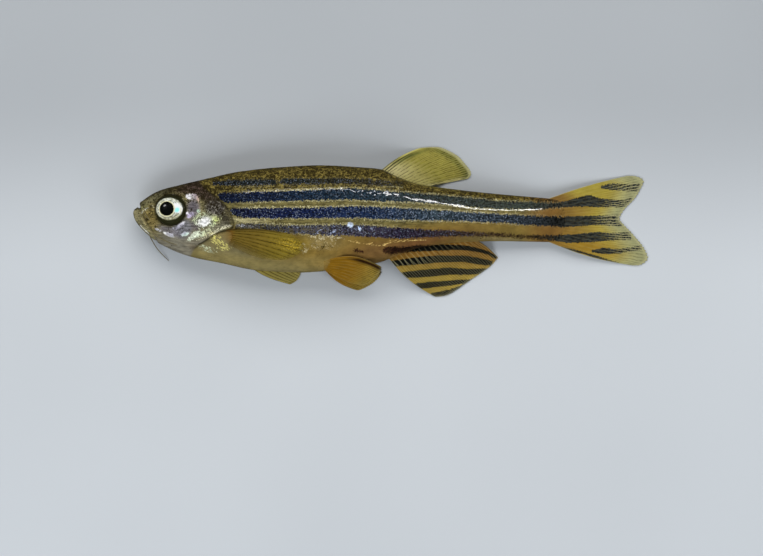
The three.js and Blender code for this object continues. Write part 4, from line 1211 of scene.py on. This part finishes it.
# %% [markdown]
# ## Fins
# A fin is a thin skin over bony rays that fork towards the margin. Here it is a tenth of a millimetre thick
# at its root and a few hundredths at its margin. Each fin here is one sheet between its root line and its
# margin. Along a ray the sheet runs straight or in a slight bow. Across it the rays stand up on both faces
# as low ridges, and each ridge splits in two on its way out, near the root on some fins and near the margin
# on others. Most margins are scalloped, because the skin draws back a little between the tips of the rays.

# %% Fin sheets
FIN_ROWS = 64
COLUMNS_PER_RAY = 14
ROOT_THICKNESS, MARGIN_THICKNESS = 0.1, 0.03
BRANCHES_APART, FORKING_LENGTH = 0.25, 0.35
RAY_WIDTH_AT_ROOT, RAY_WIDTH_AT_MARGIN = 0.15, 0.1
SCALLOPED_FROM = 0.7
RIDGES_FALL_BY = 0.6
THINNEST = 0.02


def fin_sheet(root, margin, rays, bow, level, fork=0.35, ray_height=0.04, scallop=0.012):
    """Grids for a fin, and what is known at each of its places. A ray runs from the root line to the margin,
    bows sideways by a half sine, and takes its height from level(u, v, x, y). u runs along the rays and v
    across them. A ridge is a bell across the fin, whose middle line parts into two beyond the share fork of
    its length."""
    columns = rays * COLUMNS_PER_RAY + 1
    u, v = np.meshgrid(np.linspace(0, 1, FIN_ROWS), np.linspace(0, 1, columns), indexing="ij")
    start, end = through(root, columns), through(margin, columns)
    run = end - start
    length = np.linalg.norm(run, axis=1)
    sideways = np.column_stack([-run[:, 1], run[:, 0]]) / length[:, None]
    parted = BRANCHES_APART * soft_step(u, fork, fork + FORKING_LENGTH)
    ray_width = mix(RAY_WIDTH_AT_ROOT, RAY_WIDTH_AT_MARGIN, u)
    ridges = ridge(np.abs((v * rays) % 1 - 0.5), parted, ray_width)
    reach = u * (1 - scallop * (1 - ridges[-1:]) * soft_step(u, SCALLOPED_FROM, 1))
    bulge = mix(bow[0], bow[1], v) * np.sin(np.pi * reach)
    place = start + run * reach[..., None] + sideways * bulge[..., None]
    x, y = place[..., 0], place[..., 1]
    middle = np.stack([x, y, level(u, v, x, y)], -1)
    facing = face_up(middle)
    facing *= np.sign(facing[..., 2].sum())
    raised = ray_height * ridges * (1 - RIDGES_FALL_BY * u)
    thickness = mix(ROOT_THICKNESS, MARGIN_THICKNESS, u) / 2 + raised
    upper = middle + facing * thickness[..., None]
    lower = middle - facing * thickness[..., None]
    lower[..., 2] = np.maximum(lower[..., 2], 0)
    upper[..., 2] = np.maximum(upper[..., 2], lower[..., 2] + THINNEST)
    grid = np.concatenate([upper, lower[:, ::-1]], axis=1)
    return grid, SimpleNamespace(x=x, y=y, u=u, v=v, parted=parted, ray_place=v * rays)


def both_faces(values):
    """The values of a sheet for its upper face and, mirrored, for its lower face."""
    return np.concatenate([values, values[:, ::-1]], axis=1)


print("fin rows:", FIN_ROWS, "columns for a ray:", COLUMNS_PER_RAY)

# %% A fin's piece
PLAIN_LOOK = {
    "ray_light": 0.1, "band_cut": 0.3, "ink": 0.0, "net": 0.1,
    "solid": 1.0, "rim": 0.5, "flecks": 0.0, "haze": 0.0,
}
RIM_ENDS, RIM_SIDES = (0.955, 0.985), (0.485, 0.496)


def make_fin(name, sheet, ground, replaced, bands=(), swell=0.0, **look):
    """A fin's piece with what its material reads. swell widens the dark bands, in mm. In the look, ray_light
    is how pale the rays are, band_cut how pale they cross the bands, ink how dark the lines between them,
    net how open the bands are, solid how little shows through, rim how pale the margin is, flecks how many
    yellow grains, and haze how grey the bands are."""
    grid, at = sheet
    depths = [band_depth(at.x, at.y, band) + swell for band in bands]
    look = {**PLAIN_LOOK, **look}
    on_rim = np.maximum(soft_step(at.u, *RIM_ENDS), soft_step(np.abs(at.v - 0.5), *RIM_SIDES))
    look["rim"] = look["rim"] * on_rim
    look["band_depth"] = np.maximum.reduce(depths) if depths else -1
    look["parted"], look["ray_place"] = at.parted, at.ray_place
    fields = {key: both_faces(values * np.ones_like(at.u)) for key, values in look.items()}
    fields["ground"] = both_faces(ground)
    fin = make_piece(name, grid, "seam", fields)
    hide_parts(*replaced)
    fin.data.materials.append(fin_finish)


print("what a fin's look names:", list(PLAIN_LOOK))

# %% [markdown]
# ## The finish of a fin
# The membrane is ochre and lets some light through. Its rays are drawn from each point's place across them:
# pale lines along the rays, and thin dark ones between. The dark bands are made of fine pigment, crossed by
# the rays and netted with small pale meshes. The rim is paler.

# %% Fin: membrane and rays
fin_finish, fin_shader = material("fin_membrane")
tree = fin_finish.node_tree
cloud = between(tree, grain(tree, 0.6, 3), 0.3, 0.7, 0.9, 1.1)
membrane = toned(tree, colour_field(tree, "ground"), cloud)
fleck_share = times(tree, between(tree, grain(tree, 0.1, 2), 0.5, 0.62), field(tree, "flecks"))
flecked = blend(tree, fleck_share, membrane, paint(206, 174, 54))
ray_place = maths(tree, "ADD", field(tree, "ray_place"), sway(tree, 0.4, 0.5, 1))
off_ray = maths(tree, "ABSOLUTE", maths(tree, "SUBTRACT", maths(tree, "FRACT", ray_place), 0.5))
off_branch = maths(tree, "ABSOLUTE", maths(tree, "SUBTRACT", off_ray, field(tree, "parted")))
ray_line = between(tree, off_branch, 0.01, 0.08, 1, 0)
between_rays = between(tree, off_ray, 0.4, 0.48)
between_branches = times(tree, between(tree, off_ray, 0.02, 0.08, 1, 0), field(tree, "parted"), 3.6)
gap_line = maths(tree, "MAXIMUM", between_rays, between_branches)
ray_share = times(tree, field(tree, "ray_light"), ray_line)
with_rays = blend(tree, ray_share, flecked, paint(200, 188, 128))
broken = between(tree, grain(tree, 0.2, 2, (1.5, 1, 1)), 0.38, 0.58)
ink_share = times(tree, gap_line, field(tree, "ink"), broken)
lined = blend(tree, ink_share, with_rays, paint(44, 36, 16))
print("fin nodes with the rays:", len(tree.nodes))

# %% Fin: dark bands
depth = frayed(tree, field(tree, "band_depth"), 0.12, 0.16)
holes = times(tree, between(tree, grain(tree, 0.12, 1), 0.48, 0.56), field(tree, "net"))
in_band = times(tree, between(tree, depth, -0.015, 0.02), less(tree, holes))
band_tone = between(tree, grain(tree, 0.12, 2, (3, 1, 1)), 0.35, 0.65, 0.4, 1.35)
band_ink = blend(tree, field(tree, "haze"), paint(15, 16, 13), paint(42, 46, 44))
crossing = times(tree, ray_line, field(tree, "band_cut"))
crossed = blend(tree, crossing, toned(tree, band_ink, band_tone), paint(180, 172, 130))
banded = blend(tree, in_band, lined, crossed)
rimmed = blend(tree, field(tree, "rim"), banded, paint(196, 192, 144))
print("fin nodes with the bands:", len(tree.nodes))

# %% Fin: surface
plug(tree, fin_shader.inputs["Base Color"], rimmed)
plug(tree, fin_shader.inputs["Alpha"], maths(tree, "MAXIMUM", in_band, field(tree, "solid")))
fin_shader.inputs["Roughness"].default_value = 0.55
fin_shader.inputs["Specular IOR Level"].default_value = 0.1
bump_inputs = {"Height": grain(tree, 0.12, 2), "Strength": 0.2, "Distance": 0.02 * MM}
fin_bump = add(tree, "ShaderNodeBump", bump_inputs)
plug(tree, fin_shader.inputs["Normal"], fin_bump.outputs[0])
print("fin nodes in all:", len(tree.nodes))

# %% [markdown]
# ## The fins of this fish
# Tail, dorsal and anal fin leave the body at its own middle and bend down until their margins lie on the
# table. The left pectoral fin lies close over the flank and the left pelvic fin stands out past the belly.
# The right ones lie under the fish, so only their outer parts show. Each is given by a few points on its
# root line and its margin, and by its washes of colour.

# %% Tail fin
TAIL_NOTCH = (32.18, 0.19)
TAIL_ROOT = 27.25
UNDER_SKIN = 0.35
MARGIN_LEVEL = 0.06


def settle(root_level, u):
    """Height of a fin that leaves the body at its own level and bends down to lie flat at its margin."""
    return mix(root_level, MARGIN_LEVEL, soft_step(u, 0, 1))


TAIL_MARGIN = [
    (32.67, 3.08), (33.27, 3.04), (33.76, 2.76), (33.55, 2.2), (33.2, 1.6), (32.6, 0.98), (32.28, 0.55),
    TAIL_NOTCH, (32.45, -0.15), (33.1, -0.85), (33.75, -1.65), (34.04, -2.39), (33.6, -2.8), (33.07, -2.86),
]
tail = fin_sheet(
    root=[(TAIL_ROOT, 1.5), (TAIL_ROOT, 0.17), (TAIL_ROOT, -1.22)], margin=TAIL_MARGIN, rays=19,
    bow=(0.1, -0.22), level=lambda u, v, x, y: settle(mid_level(TAIL_ROOT), u), ray_height=0.02,
)
at = tail[1]
outer = soft_step(at.u, 0.55, 0.9)
tail_ground = lay_coats(tail_base(at.x), [
    ((164, 146, 60), soft_step(at.u, 0.4, 0.75)),
    ((160, 144, 58), soft_step(at.y, 1.1, 2) * soft_step(at.u, 0.15, 0.4)),
    ((148, 116, 38), spot(at.x, at.y, (29.8, -1.5), (2.2, 0.5), -15)),
    ((160, 160, 116), soft_step(at.u, 0.62, 0.95)),
])
TAIL_BANDS = [stripe["band"] for stripe in STRIPES if stripe["name"] in BODY_STRIPES[1:]] + [
    [(30.9, 2.38, 2.26), (31.7, 2.54, 2.16), (32.5, 2.5, 2.1), (33.5, 2.56, 2.05)],
    [(30.3, -1.86, -1.96), (31.2, -1.72, -2.06), (31.8, -1.8, -2.08), (32.6, -1.72, -1.95),
     (33.6, -1.54, -1.8)],
    [(28.3, -1.64, -1.7), (29.6, -1.94, -2.03), (30.5, -2.2, -2.3), (31.3, -2.44, -2.52),
     (32.1, -2.7, -2.74)],
]
make_fin(
    "tail_fin", tail, tail_ground, ["caudal_fin_upper", "caudal_fin_lower"], TAIL_BANDS, swell=0.03,
    ray_light=0.12, band_cut=mix(0.1, 1, outer), ink=0.2 + 0.3 * outer, net=mix(0.05, 0.5, outer), haze=1,
    solid=mix(1, 0.8, soft_step(at.u, 0.8, 1)),
)

# %% Dorsal fin
DORSAL_MARGIN = [
    (19.0, 4.94), (19.82, 5.0), (20.5, 4.91), (21.44, 4.42), (21.87, 3.98), (22.28, 3.45), (22.34, 3.12),
    (22.15, 2.88),
]
dorsal = fin_sheet(
    root=[(s, back_line(s) - UNDER_SKIN) for s in np.array([16.1, 16.9, 17.8, 18.7])], margin=DORSAL_MARGIN,
    rays=14, bow=(0.2, 0.0), ray_height=0.03,
    level=lambda u, v, x, y: settle(mid_level(mix(16.5, 18.7, v)), u * mix(1, 1.8, v)),
)
at = dorsal[1]
near_root = 1 - soft_step(at.u, 0.15, 0.55)
in_front = soft_step(0.7 - at.v, 0, 0.5)
outer_front = (1 - soft_step(at.v, 0.03, 0.1)) * soft_step(at.u, 0.4, 0.6)
front_band = ridge(at.v, mix(0.05, 0.2, at.u), 0.06) * ridge(at.u, 0.6, 0.26)
green_band = ridge(at.u, 0.9, 0.06) * soft_step(at.v, 0.1, 0.4)
dorsal_ground = lay_coats(even_coat(at.u, 156, 148, 66), [
    ((200, 190, 138), near_root * mix(0.4, 0.85, in_front)),
    ((204, 196, 136), 0.8 * soft_step(at.v, 0.9, 0.98)),
    ((208, 200, 112), outer_front),
    ((66, 84, 34), 0.8 * front_band),
    ((92, 98, 66), 0.8 * spot(at.x, at.y, (22.12, 3.2), (0.16, 0.26))),
    ((88, 94, 42), 0.65 * green_band),
    ((188, 184, 124), soft_step(at.u, 0.93, 0.97)),
])
for place, width, reach in ((0.015, 0.013, 0.6), (0.08, 0.016, 0.75), (0.15, 0.01, 0.5)):
    front_line = ridge(at.v, place, width) * (1 - soft_step(at.u, reach - 0.15, reach + 0.1))
    dorsal_ground = lay(dorsal_ground, paint(38, 46, 14), front_line)
dorsal_ink = (0.9 * near_root + 0.75 + 0.5 * green_band) * (1 - soft_step(at.u, 0.92, 0.97))
make_fin(
    "dorsal_fin_sheet", dorsal, dorsal_ground, ["dorsal_fin"], ray_light=0.3 * near_root * in_front + 0.3,
    ink=dorsal_ink, solid=mix(0.9, 0.6, soft_step(at.u, 0.9, 0.98)),
)

# %% Anal fin
ANAL_BANDS = [
    [(17.3, -1.62, -2.0), (18.94, -1.56, -1.86), (20.26, -1.5, -1.8), (21.58, -1.53, -1.76),
     (22.9, -1.76, -1.93), (24.0, -2.22, -2.36)],
    [(16.9, -2.6, -2.95), (17.62, -2.49, -2.82), (18.94, -2.32, -2.72), (20.26, -2.22, -2.59),
     (21.58, -2.22, -2.55), (22.9, -2.39, -2.75), (23.7, -2.6, -2.85)],
    [(17.4, -3.38, -3.7), (18.28, -3.25, -3.61), (19.6, -3.12, -3.54), (20.92, -3.02, -3.41),
     (22.24, -3.12, -3.41), (23.4, -3.08, -3.28)],
    [(18.3, -4.1, -4.42), (19.6, -3.97, -4.27), (20.92, -3.87, -4.14), (22.5, -3.78, -3.9)],
    [(19.7, -4.72, -4.92), (20.92, -4.47, -4.73), (21.8, -4.15, -4.35)],
]
anal = fin_sheet(
    root=[(s, belly_line(s) + UNDER_SKIN) for s in np.array([16.7, 17.9, 19.4, 20.8, 22.2])],
    margin=[(20, -4.95), (20.92, -4.78), (22.24, -3.9), (23.56, -2.98), (24.12, -2.34)],
    rays=18, bow=(-0.27, 0.15), level=lambda u, v, x, y: settle(mid_level(mix(16.8, 22.5, v)), u), fork=0.08,
    scallop=0.02,
)
at = anal[1]
anal_ground = lay(even_coat(at.u, 128, 92, 38), paint(156, 132, 54), soft_step(-at.y, 1.9, 3.8))
first_band = soft_step(at.y, -2.15, -2.0)
make_fin(
    "anal_fin_sheet", anal, anal_ground, ["anal_fin"], ANAL_BANDS, swell=0.05, ray_light=0.3,
    band_cut=mix(0.55, 0.36, soft_step(at.u, 0.2, 0.7)) * (1 - 0.7 * first_band), ink=0.5, net=0.0, rim=0.15,
)

# %% Pectoral fins
def over_skin(x, y, lift):
    """Height of a sheet that lies over the left flank, clear of the skin by lift."""
    return skin_level(x, y, LEFT) + lift


pectoral_left = fin_sheet(
    root=[(6.15, -0.5), (6.15, -1.35)],
    margin=[(10.5, -0.81), (11.16, -1.4), (11.02, -2.03), (10.03, -2.46), (8.51, -2.39)],
    rays=9, bow=(0.2, -0.1), level=lambda u, v, x, y: over_skin(x, y, mix(-0.1, 0.35, soft_step(u, 0, 0.4))),
    fork=0.7, ray_height=0.03, scallop=0.0,
)
pectoral_right = fin_sheet(
    root=[(6.47, -0.84), (6.34, -1.43)],
    margin=[(11.09, -3.3), (11.02, -3.56), (10.78, -3.9), (10.4, -4.12)],
    rays=7, bow=(0.15, -0.52), level=lambda u, v, x, y: mix(0.4, 0.05, soft_step(u, 0, 1)),
    fork=0.7, ray_height=0.03,
)
for name, sheet, base, tip, solid, dark_gaps in (
    ("pectoral_fin_left", pectoral_left, (116, 96, 34), (136, 118, 38), (0.88, 0.3), 0.4),
    # Partly painted light: the right fin lies in the shade under the body, so its paint is made lighter than
    # the left one's.
    ("pectoral_fin_right", pectoral_right, (164, 148, 70), (176, 162, 88), (0.9, 0.9), 0.85),
):
    at = sheet[1]
    gaps = ridge(np.abs(at.ray_place % 1 - 0.5), 0.5, 0.14)
    tips = soft_step(at.u, 0.3, 1)
    leading_edge = ridge(at.v, 0.03, 0.035) * (1 - soft_step(at.u, 0.75, 0.95))
    ground = lay_coats(even_coat(at.u, *base), [
        (tip, tips),
        ((82, 66, 22), dark_gaps * gaps),
        ((116, 68, 26), 0.7 * (1 - soft_step(at.u, 0.02, 0.16))),
        ((58, 44, 14), 0.75 * leading_edge),
    ])
    flecks = 1.1 * spot(at.x, at.y, (10.5, -1.5), (0.9, 0.4), -12)
    see_through = np.maximum(soft_step(at.v, 0.45, 0.95), 0.8 * soft_step(at.u, 0.85, 1))
    make_fin(
        name + "_sheet", sheet, ground, [name], ink=1.1 - 0.3 * tips, rim=0.0, flecks=flecks,
        solid=mix(*solid, see_through),
    )

# %% Pelvic fins
pelvic_left = fin_sheet(
    root=[(12.6, -2.5), (12.6, -3.05)],
    margin=[(16.4, -2.94), (16.34, -3.28), (15.71, -3.94), (15.18, -4.17)],
    rays=8, bow=(0.46, -0.2),
    level=lambda u, v, x, y: np.maximum(
        over_skin(x, y, mix(-0.1, 0.25, soft_step(u, 0, 0.45))), mix(mix(3.2, 2.4, v), mix(2.8, 1.4, v), u),
    ),
)
pelvic_right = fin_sheet(
    root=[(12.6, -2.65), (12.6, -3.1)],
    margin=[(16.36, -3.12), (16.37, -3.45), (15.84, -4.04), (15.05, -4.46), (14.72, -4.48)],
    rays=8, bow=(0.3, -0.2),
    level=lambda u, v, x, y: np.clip(skin_level(x, y, RIGHT) - 0.2, 0.05, settle(1, u)),
)
for name, sheet in (("pelvic_fin_left", pelvic_left), ("pelvic_fin_right", pelvic_right)):
    at = sheet[1]
    upper_edge = ridge(at.v, 0.08, mix(0.03, 0.1, at.u)) * soft_step(at.u, 0.25, 0.6)
    ground = lay_coats(even_coat(at.u, 138, 100, 20), [
        ((142, 120, 46), soft_step(at.u, 0.5, 1)),
        ((40, 20, 8), upper_edge),
    ])
    margin_ink = 0.25 + 0.65 * soft_step(at.u, 0.6, 0.9)
    ray_light = 0.15 * (1 - upper_edge)
    make_fin(name + "_sheet", sheet, ground, [name], ray_light=ray_light, ink=margin_ink, rim=0.1)

# %% [markdown]
# ## Barbels
# Two pairs of barbels, hair-thin feelers, grow beside the mouth. Each is a tapering tube carried along a
# smooth line. The long left one lies along the cheek, and the long right one passes under the chin to the
# table.


# %% Barbels
BARBEL_TIP_RADIUS = 0.02
BARBEL_STEPS, BARBEL_AROUND = 40, 10


def tube_along(points, start_radius, end_radius):
    """Rings along a smooth line through the points, each square to the line, with a radius that shrinks
    evenly."""
    path = through(points, BARBEL_STEPS)
    tangent = np.gradient(path, axis=0)
    tangent /= np.linalg.norm(tangent, axis=1, keepdims=True)
    first = np.cross(tangent, [0, 0, 1])
    first /= np.linalg.norm(first, axis=1, keepdims=True)
    second = np.cross(tangent, first)
    turned = np.linspace(0, 2 * np.pi, BARBEL_AROUND, endpoint=False)[None, :, None]
    radius = mix(start_radius, end_radius, np.linspace(0, 1, BARBEL_STEPS))[:, None, None]
    return path[:, None] + radius * (np.cos(turned) * first[:, None] + np.sin(turned) * second[:, None])


barbel_finish, barbel_shader = material("barbel")
tree = barbel_finish.node_tree
mottled_brown = blend(tree, grain(tree, 0.12, 2), paint(90, 80, 52), paint(142, 132, 96))
plug(tree, barbel_shader.inputs["Base Color"], mottled_brown)
barbel_shader.inputs["Roughness"].default_value = 0.35


def on_flank(points, flank):
    """Points [x, y, height over the skin] as places in space on that flank."""
    x, y, lift = np.array(points).T
    return np.column_stack([x, y, skin_level(x, y, flank) + flank * lift])


LONG_BARBEL = [(1.0, -0.15, -0.05), (1.25, -0.62, 0.05), (1.7, -1.0, 0.05), (2.3, -1.3, 0.05),
               (2.9, -1.5, 0.03)]
SHORT_BARBEL = [(0.72, 0.95, -0.04), (0.82, 0.55, 0.07), (1.1, 0.15, 0.06)]
RIGHT_LONG = [(1.15, -0.3, 0.6), (1.12, -0.9, 0.45), (1.25, -1.2, 0.35), (1.62, -1.79, 0.22),
              (2.34, -2.55, 0.06)]
for name, path, radius in (
    ("barbel_maxillary_left", on_flank(LONG_BARBEL, LEFT), 0.04),
    ("barbel_maxillary_right", RIGHT_LONG, 0.038),
    ("barbel_rostral_left", on_flank(SHORT_BARBEL, LEFT), 0.035),
    ("barbel_rostral_right", on_flank(SHORT_BARBEL, RIGHT), 0.035),
):
    barbel = make_piece("shown_" + name, tube_along(path, radius, BARBEL_TIP_RADIUS))
    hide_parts(name)
    barbel.data.materials.append(barbel_finish)
